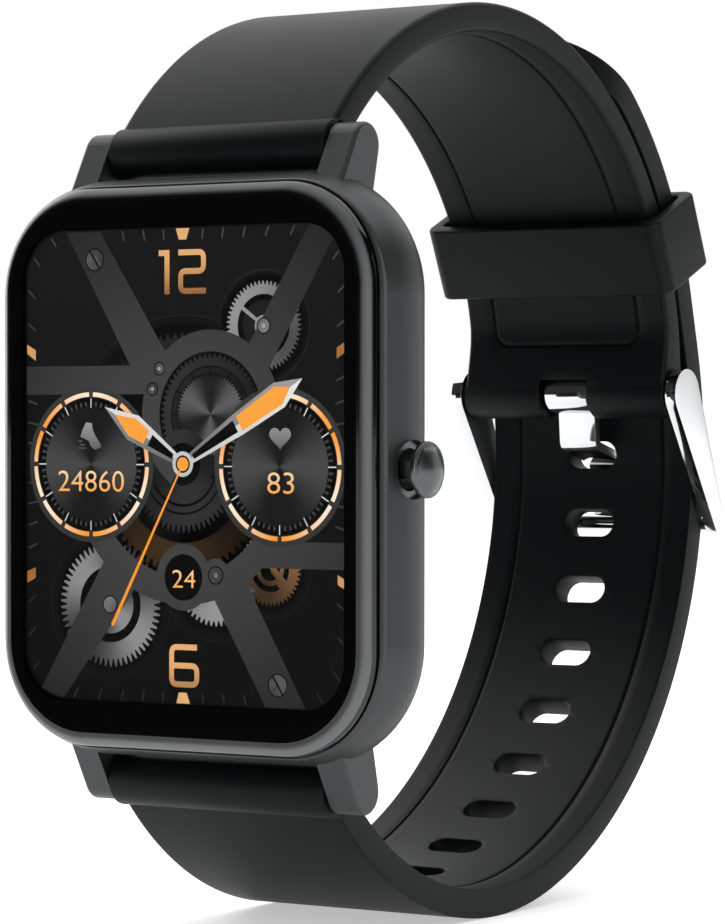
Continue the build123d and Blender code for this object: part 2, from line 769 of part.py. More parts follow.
def holed_strap():
    """Six o'clock strap: it passes through the buckle and lies outside the other strap."""
    inner = holed_strap_edges(0)
    outer = holed_strap_edges(strap_thickness)
    ends = [Line(inner[0] @ 0, outer[0] @ 0), Line(inner[-1] @ 1, outer[-1] @ 1)]
    outline = make_face([*inner, *outer, *ends])
    outline += Pos(lug_bar_y, -bar_z) * Circle(lug_barrel_radius)
    outline -= Pos(lug_bar_y, -bar_z) * Circle(bore_radius)
    strap = across(outline, -half_strap, half_strap)
    cutters = [strap_hole(index * hole_pitch) for index in range(-holes_above, holes_below + 1)]
    strap -= cutters
    tip_angle = tail_angle - degrees(tail_tip_length / tail_radius)
    foot = on_circle(wrist, tail_radius - 2, tip_angle)
    out = (0, cos(radians(tip_angle)), sin(radians(tip_angle)))
    plane = Plane(origin=(0, *foot), x_dir=(-1, 0, 0), z_dir=out)
    end_box = Pos(0, tail_tip_length) * Rectangle(2 * strap_width, 2 * tail_tip_length)
    beyond = end_box - Ellipse(half_strap, tail_tip_length)
    return strap - extrude(plane * beyond, strap_thickness + 6)


def spring_bar(y, z, tip_end):
    """Tube, two sprung tips and the coil between them, on one axis along X."""
    tube_end = half_strap - bar_inset
    shaft_start = tube_end - plunger_shaft_length + bar_inset
    bore = plunger_shaft_radius + running_fit
    tube = rod_x(bar_radius, -tube_end, tube_end, y, z) - rod_x(bore, -tube_end - 1, tube_end + 1, y, z)
    shoulder = half_strap + bar_inset / 3
    right = rod_x(plunger_shaft_radius, shaft_start, shoulder, y, z)
    right += rod_x(plunger_tip_radius, shoulder, tip_end, y, z)
    left = mirror(right, Plane.YZ)
    coil = rod_x(plunger_shaft_radius, -shaft_start, shaft_start, y, z)
    coil -= rod_x(plunger_shaft_radius - bar_spring_wire, -shaft_start - 1, shaft_start + 1, y, z)
    return {"tube": tube, "tip_left": left, "tip_right": right, "spring": coil}


# ---------------------------------------------------------------- buckle and keeper
def buckle_frame():
    """Two tapering arms joined by the far bar that the tongue rests on."""
    inner_x = half_strap + buckle_side_gap
    outline = taper_link((pin_y, pin_z), buckle_head_radius, (far_bar_y, far_bar_z), buckle_end_radius)
    arm = across(outline, inner_x, inner_x + buckle_arm_thickness)
    hole_end = inner_x + buckle_arm_thickness - buckle_arm_skin
    arm -= rod_x(plunger_tip_radius + running_fit, inner_x - 1, hole_end, pin_y, pin_z)
    frame = arm + mirror(arm, Plane.YZ)
    bar_end = inner_x + buckle_arm_skin
    return frame + rod_x(buckle_bar_radius, -bar_end, bar_end, far_bar_y, far_bar_z)


def tongue_line():
    """Corner points of the tongue: out of the eye, through the strap and down onto the far bar."""
    hole = on_circle(back, back_radius + strap_thickness / 2, hole_first_angle)
    rest = buckle_bar_radius + tongue_rest_gap + tongue_thickness / 2
    lean = radians(tongue_lean)
    bar = (far_bar_y + rest * cos(lean), far_bar_z + rest * sin(lean))
    knee_rise = hole[1] - bar[1] - tongue_knee_drop
    knee = (bar[0] - sin(lean) * knee_rise, bar[1] + cos(lean) * knee_rise)
    tip = (bar[0] + sin(lean) * tongue_overhang, bar[1] - cos(lean) * tongue_overhang)
    inside = (hole[0] - strap_thickness / 2 - tongue_drop[0], hole[1] + tongue_drop[1])
    root = (pin_y + tongue_eye_radius / 2, pin_z - tongue_eye_radius / 2)
    return [root, inside, knee, tip]


def buckle_tongue():
    """Flat bent tongue with the eye that turns on the spring bar."""
    path = tongue_line()
    route = FilletPolyline(*path, radius=tongue_bend)
    plate = across(trace(route, tongue_thickness), -tongue_width / 2, tongue_width / 2)
    eye = rod_x(tongue_eye_radius, -tongue_eye_width / 2, tongue_eye_width / 2, pin_y, pin_z)
    tongue = plate + eye
    return tongue - rod_x(bar_radius + running_fit, -tongue_eye_width, tongue_eye_width, pin_y, pin_z)


def keeper():
    """Rectangular loop that holds both straps together."""
    half_turn = degrees(asin(keeper_length / 2 / wrist_radius))
    slot_low = wrist_radius * cos(radians(half_turn)) - keeper_fit
    slot_high = tail_radius + strap_thickness + keeper_fit
    low = slot_low - keeper_inner_wall
    high = slot_high + keeper_outer_wall
    out = (0, cos(radians(keeper_angle)), sin(radians(keeper_angle)))
    along = (0, -sin(radians(keeper_angle)), cos(radians(keeper_angle)))
    plane = Plane(origin=(0, wrist_y, wrist_z), x_dir=out, z_dir=along)
    slot_half = half_strap + keeper_side_gap
    outer_width = 2 * (slot_half + keeper_side_wall)
    outer = Pos((low + high) / 2, 0) * RectangleRounded(high - low, outer_width, keeper_corner)
    slot = RectangleRounded(slot_high - slot_low, 2 * slot_half, keeper_slot_corner)
    slot = Pos((slot_low + slot_high) / 2, 0) * slot
    return extrude(plane * (outer - slot), keeper_length / 2, both=True)


# ---------------------------------------------------------------- write the nodes
os.makedirs("parts", exist_ok=True)

save("case_body", case_body())
save("cover_glass", cover_glass())
save("glass_gasket", glass_gasket())
display_outline = (display_half_width, display_half_height, display_corner)
save("display_panel", slab(*display_outline, display_front_y, display_rear_y))
save("display_flex", display_flex())
save("inner_chassis", inner_chassis())
save("main_board", main_board())
save("board_shield", board_shield())
save("board_chips", board_chips())
save("battery", battery())
save("motor_can", motor_can())
save("motor_base", motor_base())
save("motor_shaft", motor_shaft())
save("motor_rotor", motor_rotor())
save("speaker", pad(*speaker_outline, motor_front_y + speaker_depth, speaker_depth))
save("microphone", pad(*microphone_outline, board_front_y, microphone_height))
save("side_switch", side_switch())
save("switch_button", switch_button())
save("crown_bush", crown_bush())
save("crown_seal", crown_seal())
save("crown_stem", crown_stem())
save("crown_cap", crown_cap())
save("crown_clip", crown_clip())
save("rear_cover", rear_cover())
save("rear_gasket", rear_gasket())
save("rear_screws", rear_screws())
save("sensor_window", sensor_window())
save("sensor_board", sensor_board())
save("sensor_emitters", sensor_emitters())
save("charge_contacts", charge_contacts())
save("charge_magnets", charge_magnets())
save("buckle_strap", buckle_strap())
save("holed_strap", holed_strap())
save("buckle_frame", buckle_frame())
save("buckle_tongue", buckle_tongue())
save("keeper", keeper())
bars = {
    "upper": (lug_bar_y, bar_z, lug_tip_x),
    "lower": (lug_bar_y, -bar_z, lug_tip_x),
    "buckle": (pin_y, pin_z, buckle_tip_x),
}
for place, axis in bars.items():
    for piece, shape in spring_bar(*axis).items():
        save(f"{place}_bar_{piece}", shape)
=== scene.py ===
"""A smart watch on a silicone strap: the looks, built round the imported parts."""

import logging
import math
from dataclasses import dataclass
from enum import Enum
from typing import Callable, Iterable, Optional, Sequence

import bpy
from bpy.types import Material, MeshEdge, MeshPolygon, NodeSocket, Object
from mathutils import Euler, Matrix, Vector


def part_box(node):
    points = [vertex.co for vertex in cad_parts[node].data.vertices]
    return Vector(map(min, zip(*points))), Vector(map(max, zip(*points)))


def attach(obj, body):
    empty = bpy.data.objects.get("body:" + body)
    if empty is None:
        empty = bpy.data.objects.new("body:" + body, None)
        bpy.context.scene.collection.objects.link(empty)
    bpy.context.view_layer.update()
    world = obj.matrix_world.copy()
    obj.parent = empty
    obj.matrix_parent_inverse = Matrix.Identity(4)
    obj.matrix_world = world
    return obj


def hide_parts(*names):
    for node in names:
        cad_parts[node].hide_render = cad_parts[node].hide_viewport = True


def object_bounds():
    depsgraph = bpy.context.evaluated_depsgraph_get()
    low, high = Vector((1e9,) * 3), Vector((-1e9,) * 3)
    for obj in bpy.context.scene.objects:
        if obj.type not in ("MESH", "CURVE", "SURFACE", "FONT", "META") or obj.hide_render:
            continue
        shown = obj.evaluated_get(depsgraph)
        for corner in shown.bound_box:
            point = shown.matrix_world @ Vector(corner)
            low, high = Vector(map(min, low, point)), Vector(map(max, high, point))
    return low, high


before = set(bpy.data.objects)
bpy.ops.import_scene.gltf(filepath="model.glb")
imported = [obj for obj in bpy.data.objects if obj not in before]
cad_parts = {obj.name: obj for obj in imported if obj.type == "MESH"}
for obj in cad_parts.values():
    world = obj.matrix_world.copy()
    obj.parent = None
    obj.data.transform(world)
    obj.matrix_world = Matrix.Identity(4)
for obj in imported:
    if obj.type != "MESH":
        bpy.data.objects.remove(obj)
CAD_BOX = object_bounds()

MM = 0.001
TURN = 2 * math.pi
LOG = logging.getLogger("watch")

Point = tuple[float, float]
Colour = tuple[float, float, float]


def shade(code: str) -> Colour:
    """Linear colour of a six-digit colour code."""
    parts = [int(code[i : i + 2], 16) / 255 for i in (0, 2, 4)]
    return tuple(c / 12.92 if c <= 0.04045 else ((c + 0.055) / 1.055) ** 2.4 for c in parts)


# ---------------------------------------------------------------- shader graph


class Wire:
    """A socket of a shader graph that takes part in sums like a number."""

    def __init__(self, graph: "Graph", socket: NodeSocket) -> None:
        """Wraps one output socket."""
        self.graph = graph
        self.socket = socket

    def sum(self, operation: str, *others: object) -> "Wire":
        """A Math node on this value and others."""
        return self.graph.node("ShaderNodeMath", {"operation": operation}, dict(enumerate((self, *others))))

    def __add__(self, other: object) -> "Wire":
        """Sum."""
        return self.sum("ADD", other)

    def __sub__(self, other: object) -> "Wire":
        """Difference."""
        return self.sum("SUBTRACT", other)

    def __mul__(self, other: object) -> "Wire":
        """Product."""
        return self.sum("MULTIPLY", other)

    def __truediv__(self, other: object) -> "Wire":
        """Quotient."""
        return self.sum("DIVIDE", other)

    def __gt__(self, other: object) -> "Wire":
        """1 where this is greater."""
        return self.sum("GREATER_THAN", other)

    def __rsub__(self, other: float) -> "Wire":
        """Difference from a number."""
        return self.graph.node("ShaderNodeMath", {"operation": "SUBTRACT"}, {0: other, 1: self})


class Graph:
    """The node tree of one material."""

    def __init__(self, name: str) -> None:
        """Makes an empty material.

        Args:
            name: its name.
        """
        self.material = bpy.data.materials.new(name)
        self.material.use_nodes = True
        self.tree = self.material.node_tree
        self.tree.nodes.clear()

    def node(self, kind: str, settings: Optional[dict] = None, inputs: Optional[dict] = None,
             out: object = 0) -> Wire:
        """Adds a node.

        Args:
            kind: the node's type name.
            settings: properties set before the sockets.
            inputs: socket name or number to a value or a Wire.
            out: the output socket to hand back.

        Returns:
            The chosen output.
        """
        made = self.tree.nodes.new(kind)
        for key, value in (settings or {}).items():
            setattr(made, key, value)
        for key, value in (inputs or {}).items():
            socket = made.inputs[key]
            if isinstance(value, Wire):
                self.tree.links.new(value.socket, socket)
            elif isinstance(value, tuple) and len(value) == 3 and socket.type == "RGBA":
                socket.default_value = (*value, 1.0)
            else:
                socket.default_value = value
        return Wire(self, made.outputs[out]) if len(made.outputs) else None

    def place(self) -> Wire:
        """Object coordinates."""
        return self.node("ShaderNodeTexCoord", out="Object")

    def axes(self, vector: Optional[Wire] = None) -> tuple[Wire, Wire, Wire]:
        """The three parts of a vector, object coordinates unless given.

        Args:
            vector: the vector; object coordinates without it.

        Returns:
            Its X, Y and Z.
        """
        split = self.node("ShaderNodeSeparateXYZ", inputs={0: vector or self.place()})
        outs = split.socket.node.outputs
        return Wire(self, outs[0]), Wire(self, outs[1]), Wire(self, outs[2])

    def noise(self, scale: float, detail: float = 2.0, stretch: Colour = (1.0, 1.0, 1.0)) -> Wire:
        """Noise of so many spots a metre, stretched along chosen axes."""
        mapped = self.node("ShaderNodeMapping", inputs={"Vector": self.place(), "Scale": stretch})
        return self.node("ShaderNodeTexNoise", inputs={"Vector": mapped, "Scale": scale, "Detail": detail})

    def fade(self, value: Wire, start: float, stop: float, rising: bool) -> Wire:
        """A soft step between two values.

        Args:
            value: what is measured.
            start: where the step begins.
            stop: where it ends.
            rising: True from 0 to 1, False from 1 to 0.

        Returns:
            The step.
        """
        ends = (0.0, 1.0) if rising else (1.0, 0.0)
        return self.node("ShaderNodeMapRange", {"interpolation_type": "SMOOTHSTEP"},
                         {0: value, 1: start, 2: stop, 3: ends[0], 4: ends[1]})

    def blend(self, factor: object, first: object, second: object) -> Wire:
        """Colour mixed from first to second."""
        made = self.node("ShaderNodeMix", {"data_type": "RGBA"}, {0: factor, 6: first, 7: second})
        return Wire(self, made.socket.node.outputs[2])

    def bump(self, height: Wire, depth: float) -> Wire:
        """Normal from a height, depth in metres."""
        return self.node("ShaderNodeBump", inputs={"Strength": 1.0, "Distance": depth, "Height": height})

    def surface(self, sockets: dict) -> Wire:
        """A Principled shader with these sockets."""
        return self.node("ShaderNodeBsdfPrincipled", inputs=sockets)

    def finish(self, shader: Wire) -> Material:
        """Joins the shader to the output and gives the material."""
        self.node("ShaderNodeOutputMaterial", inputs={"Surface": shader})
        return self.material


class Grain(Enum):
    """How a surface was worked."""

    CAST = "fine even grain"
    BRUSHED_X = "lines along X"
    BRUSHED_Z = "lines along Z"
    POLISHED = "mirror with faint haze"
    MOULDED = "soft moulded skin"
    WOVEN = "glass cloth"


@dataclass(frozen=True)
class Finish:
    """A worked surface that varies a little in colour, gloss and height."""

    name: str
    base: str
    second: str
    rough: float
    spread: float
    metal: float
    grain: Grain
    pitch: float = 0.1
    depth: float = 0.002
    coat: float = 0.0
    shine: float = 0.5
    glow: float = 0.0
    side: float = 0.0

    def make(self) -> Material:
        """Builds the material.

        Returns:
            The material.
        """
        g = Graph(self.name)
        along = {Grain.BRUSHED_X: (0.03, 1.0, 1.0), Grain.BRUSHED_Z: (1.0, 1.0, 0.03)}
        stretch = along.get(self.grain, (1.0, 1.0, 1.0))
        fine = g.noise(1000.0 / self.pitch, 3.0, stretch)
        broad = g.noise(90.0, 2.0)
        if self.grain is Grain.WOVEN:
            x, y, z = g.axes()
            turns = TURN * 1000.0 / self.pitch
            fine = (x * turns).sum("SINE") * (z * turns).sum("SINE") * 0.5 + 0.5
        tint = g.blend(fine * 0.6 + broad * 0.4, shade(self.base), shade(self.second))
        gloss = broad * self.spread + fine * self.spread + (self.rough - self.spread)
        if self.side:
            facing = g.axes(g.node("ShaderNodeTexCoord", out="Normal"))[0].sum("ABSOLUTE") > 0.97
            gloss = gloss + facing * self.side
        normal = g.bump(fine * 0.8 + broad * 0.2, self.depth * MM)
        shader = g.surface({
            "Base Color": tint, "Roughness": gloss, "Metallic": self.metal, "Normal": normal,
            "Coat Weight": self.coat, "Coat Roughness": 0.05, "Specular IOR Level": self.shine,
            "Emission Color": tint, "Emission Strength": self.glow,
        })
        return g.finish(shader)


class Sweep(Enum):
    """How a lit shape's tone runs over it."""

    UP = "from low to high"
    ROUND = "round a centre"
    OUT = "from a centre outwards"


@dataclass(frozen=True)
class Lit:
    """A shape in the display picture, glowing in one tone that shifts to another."""

    name: str
    low: str
    high: str
    sweep: Sweep = Sweep.UP
    centre: Point = (0.0, 0.0)
    span: Point = (-17.0, 18.0)
    turns: float = 2.0
    phase: float = 0.0
    sharp: float = 1.0
    haze: float = 0.12

    def make(self) -> Material:
        """Builds the material.

        Returns:
            The material.
        """
        g = Graph(self.name)
        x, _, z = g.axes()
        across, up = x - self.centre[0] * MM, z - self.centre[1] * MM
        low, high = (end * MM for end in self.span)
        if self.sweep is Sweep.UP:
            run = (z - low) / (high - low)
        elif self.sweep is Sweep.OUT:
            run = ((across * across + up * up).sum("SQRT") - low) / (high - low)
        else:
            angle = g.node("ShaderNodeMath", {"operation": "ARCTAN2"}, {0: across, 1: up})
            wave = (angle * self.turns + math.radians(self.phase)).sum("COSINE")
            run = (wave * 0.5 + 0.5).sum("POWER", self.sharp)
        speckle = (g.noise(2200.0, 2.0) - 0.5) * self.haze
        share = (run + speckle).sum("MINIMUM", 1.0).sum("MAXIMUM", 0.0)
        tone = g.blend(share, shade(self.low), shade(self.high))
        shader = g.surface({"Base Color": (0.002, 0.002, 0.002), "Roughness": 0.6, "Specular IOR Level": 0.1,
                            "Emission Color": tone, "Emission Strength": 1.06})
        g.material.cycles.emission_sampling = "NONE"
        return g.finish(shader)


# ---------------------------------------------------------------- mesh work


class Bench:
    """Mesh steps as done by hand: start from a primitive, then shape it."""

    @staticmethod
    def clear() -> None:
        """Leaves edit mode and lets go of everything."""
        if bpy.context.object and bpy.context.object.mode != "OBJECT":
            bpy.ops.object.mode_set(mode="OBJECT")
        bpy.ops.object.select_all(action="DESELECT")

    @staticmethod
    def pick(*objects: Object) -> None:
        """Selects these objects and nothing else, and makes the first one active.

        Args:
            objects: the objects, the active one first.
        """
        Bench.clear()
        for obj in objects:
            obj.select_set(True)
        bpy.context.view_layer.objects.active = objects[0]

    @staticmethod
    def edit(obj: Object, select: Optional[Callable] = None, what: str = "VERT") -> None:
        """Enters edit mode on one object with some of its elements selected.

        Args:
            obj: the object.
            select: test of a vertex, edge or face; all are selected without it.
            what: VERT, EDGE or FACE.
        """
        Bench.pick(obj)
        bpy.ops.object.mode_set(mode="EDIT")
        bpy.ops.mesh.select_mode(type=what)
        bpy.ops.mesh.select_all(action="DESELECT" if select else "SELECT")
        if select:
            bpy.ops.object.mode_set(mode="OBJECT")
            mesh = obj.data
            for item in {"VERT": mesh.vertices, "EDGE": mesh.edges, "FACE": mesh.polygons}[what]:
                item.select = bool(select(item))
            bpy.ops.object.mode_set(mode="EDIT")

    @staticmethod
    def done() -> None:
        """Back to object mode."""
        bpy.ops.object.mode_set(mode="OBJECT")

    @staticmethod
    def settle(obj: Optional[Object] = None) -> Object:
        """Puts an object's place into its mesh.

        Args:
            obj: the object; the newest one without it.

        Returns:
            The object.
        """
        obj = obj or bpy.context.object
        Bench.pick(obj)
        bpy.ops.object.transform_apply(location=True, rotation=True, scale=True)
        return obj

    @staticmethod
    def modify(obj: Object, kind: str, **settings: object) -> None:
        """Adds a modifier and applies it.

        Args:
            obj: the object.
            kind: the modifier's type.
            settings: its properties.
        """
        Bench.pick(obj)
        made = obj.modifiers.new(kind.lower(), kind)
        for key, value in settings.items():
            setattr(made, key, value)
        bpy.ops.object.modifier_apply(modifier=made.name)

    @staticmethod
    def clean(obj: Object, gap: float) -> None:
        """Merges doubles and turns faces outwards, gap in millimetres.

        Args:
            obj: the object.
            gap: corners nearer than this, in millimetres, become one.
        """
        Bench.edit(obj)
        bpy.ops.mesh.remove_doubles(threshold=gap * MM)
        bpy.ops.mesh.normals_make_consistent(inside=False)
        Bench.done()

    @staticmethod
    def smooth(obj: Object, angle: float) -> None:
        """Smooth shading with edges kept past an angle in degrees."""
        Bench.pick(obj)
        bpy.ops.object.shade_smooth_by_angle(angle=math.radians(angle))

    @staticmethod
    def join(name: str, parts: Iterable[Object]) -> Object:
        """Joins parts into one object of that name, each keeping its material.

        Args:
            name: the object's name.
            parts: the pieces to join.

        Returns:
            The joined object.
        """
        parts = list(parts)
        Bench.pick(*parts)
        if len(parts) > 1:
            bpy.ops.object.join()
        parts[0].name = parts[0].data.name = name
        return parts[0]

    @staticmethod
    def dress(obj: Object, material: Material) -> Object:
        """Gives an object one material.

        Args:
            obj: the object.
            material: its material.

        Returns:
            The same object.
        """
        obj.data.materials.clear()
        obj.data.materials.append(material)
        return obj

    @staticmethod
    def hand_over(obj: Object, body: str, slot: str, *nodes: str) -> None:
        """Lets a finished piece ride on its body, in place of some nodes.

        Args:
            obj: the piece.
            body: the body it rides on.
            slot: its material slot; not used.
            nodes: the nodes it stands for.
        """
        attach(obj, body)
        if nodes:
            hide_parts(*nodes)
        LOG.info("%s: %d faces on %s", obj.name, len(obj.data.polygons), body)


# ---------------------------------------------------------------- display picture


HUB = (0.05, 0.33)
TOP_WHEEL = (7.42, 10.6)
BIG_WHEEL = (-6.8, -10.36)
PINION = (3.06, -7.92)
ENGRAVED_WHEEL = (8.01, -7.37)
SPUN_WHEEL = (2.58, 4.04)
LEFT_DIAL = (-8.62, 0.27)
RIGHT_DIAL = (8.88, 0.18)
DATE_WINDOW = (0.09, -8.16)
DATE_SCREW = (3.09, -7.94)
UP, ROUND, OUT = Sweep

TONES = {
    "ground": Lit("lit ground", "0a0a0a", "151515", span=(-12.0, 16.0)),
    "void": Lit("lit void", "020202", "050505"),
    "edge": Lit("lit recess edge", "1c1c1c", "2c2c2c"),
    "shadow": Lit("lit shade", "0a0a0a", "101010"),
    "bridge": Lit("lit bridge", "414141", "262626", OUT, span=(8.0, 21.0), haze=0.05),
    "silver": Lit("lit silver gear", "383838", "8e8e8e", ROUND, BIG_WHEEL, phase=100.0, sharp=1.6),
    "silver_top": Lit("lit silver wheel", "4c4c4c", "949494", ROUND, TOP_WHEEL, turns=1.0, phase=60.0),
    "silver_small": Lit("lit silver pinion", "505050", "949494", ROUND, PINION),
    "steel": Lit("lit dark gear", "191919", "303030", ROUND, HUB, phase=30.0),
    "dark": Lit("lit back gear", "161616", "232323", ROUND, HUB, turns=3.0),
    "bronze": Lit("lit bronze ring", "170f07", "3c2b16", ROUND, HUB, turns=3.0, phase=150.0),
    "brass": Lit("lit engraved gear", "3c2d1d", "8c6847", ROUND, ENGRAVED_WHEEL, turns=1.0, phase=-20.0),
    "sun": Lit("lit spun disc", "1e1e1e", "5c5c5c", ROUND, SPUN_WHEEL, turns=3.0, phase=180.0, sharp=1.6),
    "disc_left": Lit("lit left disc", "161616", "474747", ROUND, LEFT_DIAL, phase=180.0, sharp=1.6),
    "disc_right": Lit("lit right disc", "161616", "474747", ROUND, RIGHT_DIAL, phase=180.0, sharp=1.6),
    "arc_left": Lit("lit left arcs", "ff9f33", "ffecd2", ROUND, LEFT_DIAL, turns=3.0, haze=0.0),
    "arc_right": Lit("lit right arcs", "ff9f33", "ffecd2", ROUND, RIGHT_DIAL, turns=3.0, haze=0.0),
    "white": Lit("lit fine marks", "c8c8c8", "f0f0f0"),
    "tick": Lit("lit minute marks", "2e2e2c", "464644"),
    "fine": Lit("lit dial marks", "3c3c3c", "565656"),
    "rim": Lit("lit dial rim", "30302e", "3d3d3b"),
    "gold": Lit("lit gold", "7a4f2a", "e8ae74", span=(12.6, 15.8)),
    "gold_low": Lit("lit low gold", "7a4f2a", "e8ae74", span=(-17.6, -14.6)),
    "gold_side": Lit("lit side gold", "a06a38", "eab67c", ROUND, phase=40.0),
    "cream": Lit("lit figures", "f7a64b", "ffd7a8", span=(-1.9, -0.2)),
    "date": Lit("lit date", "f7a64b", "ffd7a8", span=(-9.0, -7.5)),
    "icon": Lit("lit icons", "565656", "9a9a9a", span=(1.2, 3.4)),
    "cap": Lit("lit screw heads", "3c3c3c", "8c8c8c", ROUND, turns=8.0, haze=0.5),
    "bright": Lit("lit bright hand edge", "c4c4c4", "efefef", span=(0.0, 7.0)),
    "grey": Lit("lit grey hand edge", "6e6e6e", "a0a0a0", span=(0.0, 7.0)),
    "orange": Lit("lit orange", "ff9a2c", "ffa743", span=(-12.0, 6.0), haze=0.05),
}


def rounded(low: Point, high: Point, corner: float, steps: int) -> list[Point]:
    """Outline of a rectangle with round corners.

    Args:
        low: its low corner.
        high: its high corner.
        corner: radius of the rounding.
        steps: stretches of each corner's arc.

    Returns:
        The outline's points, counter-clockwise from the high first coordinate.
    """
    out: list[Point] = []
    centres = ((high[0] - corner, high[1] - corner), (low[0] + corner, high[1] - corner),
               (low[0] + corner, low[1] + corner), (high[0] - corner, low[1] + corner))
    for quarter, (x, z) in enumerate(centres):
        for i in range(steps + 1):
            a = math.radians(90 * (quarter + i / steps))
            out.append((x + corner * math.cos(a), z + corner * math.sin(a)))
    return out


def off_beat(angle: float, pitch: float) -> float:
    """Degrees from an angle to the nearest multiple of a pitch."""
    return min(angle % pitch, pitch - angle % pitch)


@dataclass
class Picture:
    """The display module with its lit picture of a skeleton movement.

    Everything is in millimetres on the display plane. Level 0 is the ground, and each level stands one step
    nearer the glass.
    """

    floor_y: float = -7.90
    step: float = 0.006
    sheet: float = 0.005
    half_width: float = 14.85
    low: float = -17.65
    high: float = 18.05
    corner: float = 3.7

    def __post_init__(self) -> None:
        """Mixes the tones."""
        self.tones = {key: tone.make() for key, tone in TONES.items()}

    def depth(self, level: float) -> float:
        """Height of a level's face, in metres."""
        return (self.floor_y - self.step * level) * MM

    def outline_object(self, sides: int, radius: float, level: float, centre: Point, fill: str) -> Object:
        """A regular outline standing on the display plane.

        Args:
            sides: corners round it.
            radius: its radius.
            level: how near the glass.
            centre: its middle.
            fill: NGON for a sheet, NOTHING for an open loop.

        Returns:
            The outline.
        """
        Bench.clear()
        at = (centre[0] * MM, self.depth(level), centre[1] * MM)
        bpy.ops.mesh.primitive_circle_add(vertices=sides, radius=radius * MM, fill_type=fill, location=at,
                                          rotation=(math.pi / 2, 0, 0))
        return Bench.settle()

    def plate(self, outline: Sequence[Point], level: float, tone: str) -> Object:
        """A thin sheet with a corner at each point of an outline.

        Args:
            outline: the corners, either way round.
            level: how near the glass.
            tone: name of its tone.

        Returns:
            The finished sheet.
        """
        obj = self.outline_object(len(outline), 1.0, level, (0.0, 0.0), "NGON")
        area = sum(a[0] * b[1] - b[0] * a[1] for a, b in zip(outline, [*outline[1:], outline[0]]))
        corners = list(outline) if area > 0 else list(reversed(outline))
        for vertex, (x, z) in zip(obj.data.vertices, corners):
            vertex.co = (x * MM, self.depth(level), z * MM)
        return self.thicken(obj, tone)

    def thicken(self, obj: Object, tone: str) -> Object:
        """Gives a sheet its thickness and tone.

        Args:
            obj: the sheet.
            tone: name of its tone.

        Returns:
            The finished sheet.
        """
        Bench.edit(obj)
        bpy.ops.mesh.normals_make_consistent(inside=False)
        Bench.done()
        if obj.data.polygons[0].normal.y > 0:
            Bench.edit(obj)
            bpy.ops.mesh.flip_normals()
            Bench.done()
        Bench.modify(obj, "SOLIDIFY", thickness=self.sheet * MM, offset=-1.0)
        return Bench.dress(obj, self.tones[tone])

    def circle(self, centre: Point, radius: float, level: float, tone: str, sides: int = 64) -> Object:
        """A round sheet."""
        return self.plate(self.round_outline(centre, radius, sides), level, tone)

    @staticmethod
    def round_outline(centre: Point, radius: float, sides: int = 64) -> list[Point]:
        """Points round a circle, counted from the top."""
        angles = [TURN * i / sides for i in range(sides)]
        return [(centre[0] - radius * math.sin(a), centre[1] + radius * math.cos(a)) for a in angles]

    def ring(self, centre: Point, inner: float, outer: float, level: float, tone: str, sides: int = 72,
             keep: Optional[Callable[[float], bool]] = None, teeth: float = 0.0) -> Object:
        """A flat ring, cut into arcs or toothed where asked.

        Args:
            centre: its middle.
            inner: inner radius.
            outer: outer radius, at the tooth roots.
            level: how near the glass.
            tone: name of its tone.
            sides: corners round it.
            keep: test of a clockwise angle in degrees from the top; faces that fail are cut out.
            teeth: tooth height, standing out from every second pair of corners.

        Returns:
            The finished ring.
        """
        at = (centre[0] * MM, self.depth(level), centre[1] * MM)
        obj = self.outline_object(sides, outer, level, centre, "NOTHING")
        Bench.edit(obj)
        bpy.ops.mesh.extrude_region_move()
        scale = inner / outer
        bpy.ops.transform.resize(value=(scale, 1.0, scale), center_override=at)
        Bench.done()
        if teeth:
            Bench.edit(obj, lambda v: v.index < sides and v.index % 4 in (0, 1))
            grow = (outer + teeth) / outer
            bpy.ops.transform.resize(value=(grow, 1.0, grow), center_override=at)
            Bench.done()
        if keep:
            def lost(face: MeshPolygon) -> bool:
                """True if the face is to be cut out."""
                return not keep(math.degrees(math.atan2(face.center.x - at[0], face.center.z - at[2])) % 360)

            Bench.edit(obj, lost, "FACE")
            bpy.ops.mesh.delete(type="FACE")
            Bench.done()
        return self.thicken(obj, tone)

    @staticmethod
    def stroke(points: Sequence[Point], width: float, corner: float) -> list[Point]:
        """Outline of a pen stroke along a bent line.

        Args:
            points: the line's corners.
            width: width of the stroke.
            corner: rounding of the bends, on the centre line.

        Returns:
            The outline's points.
        """
        line: list[Point] = [points[0]]
        for before, here, after in zip(points, points[1:], points[2:]):
            a, b, c = Vector(before), Vector(here), Vector(after)
            start, end = b + (a - b).normalized() * corner, b + (c - b).normalized() * corner
            for i in range(7):
                t = i / 6
                p = start * (1 - t) ** 2 + b * 2 * t * (1 - t) + end * t**2
                line.append((p.x, p.y))
        line.append(points[-1])
        left, right = [], []
        for i, here in enumerate(line):
            a, b = Vector(line[max(i - 1, 0)]), Vector(line[min(i + 1, len(line) - 1)])
            run = (b - a).normalized()
            side = Vector((-run.y, run.x)) * width / 2
            left.append(tuple(Vector(here) + side))
            right.append(tuple(Vector(here) - side))
        return left + right[::-1]

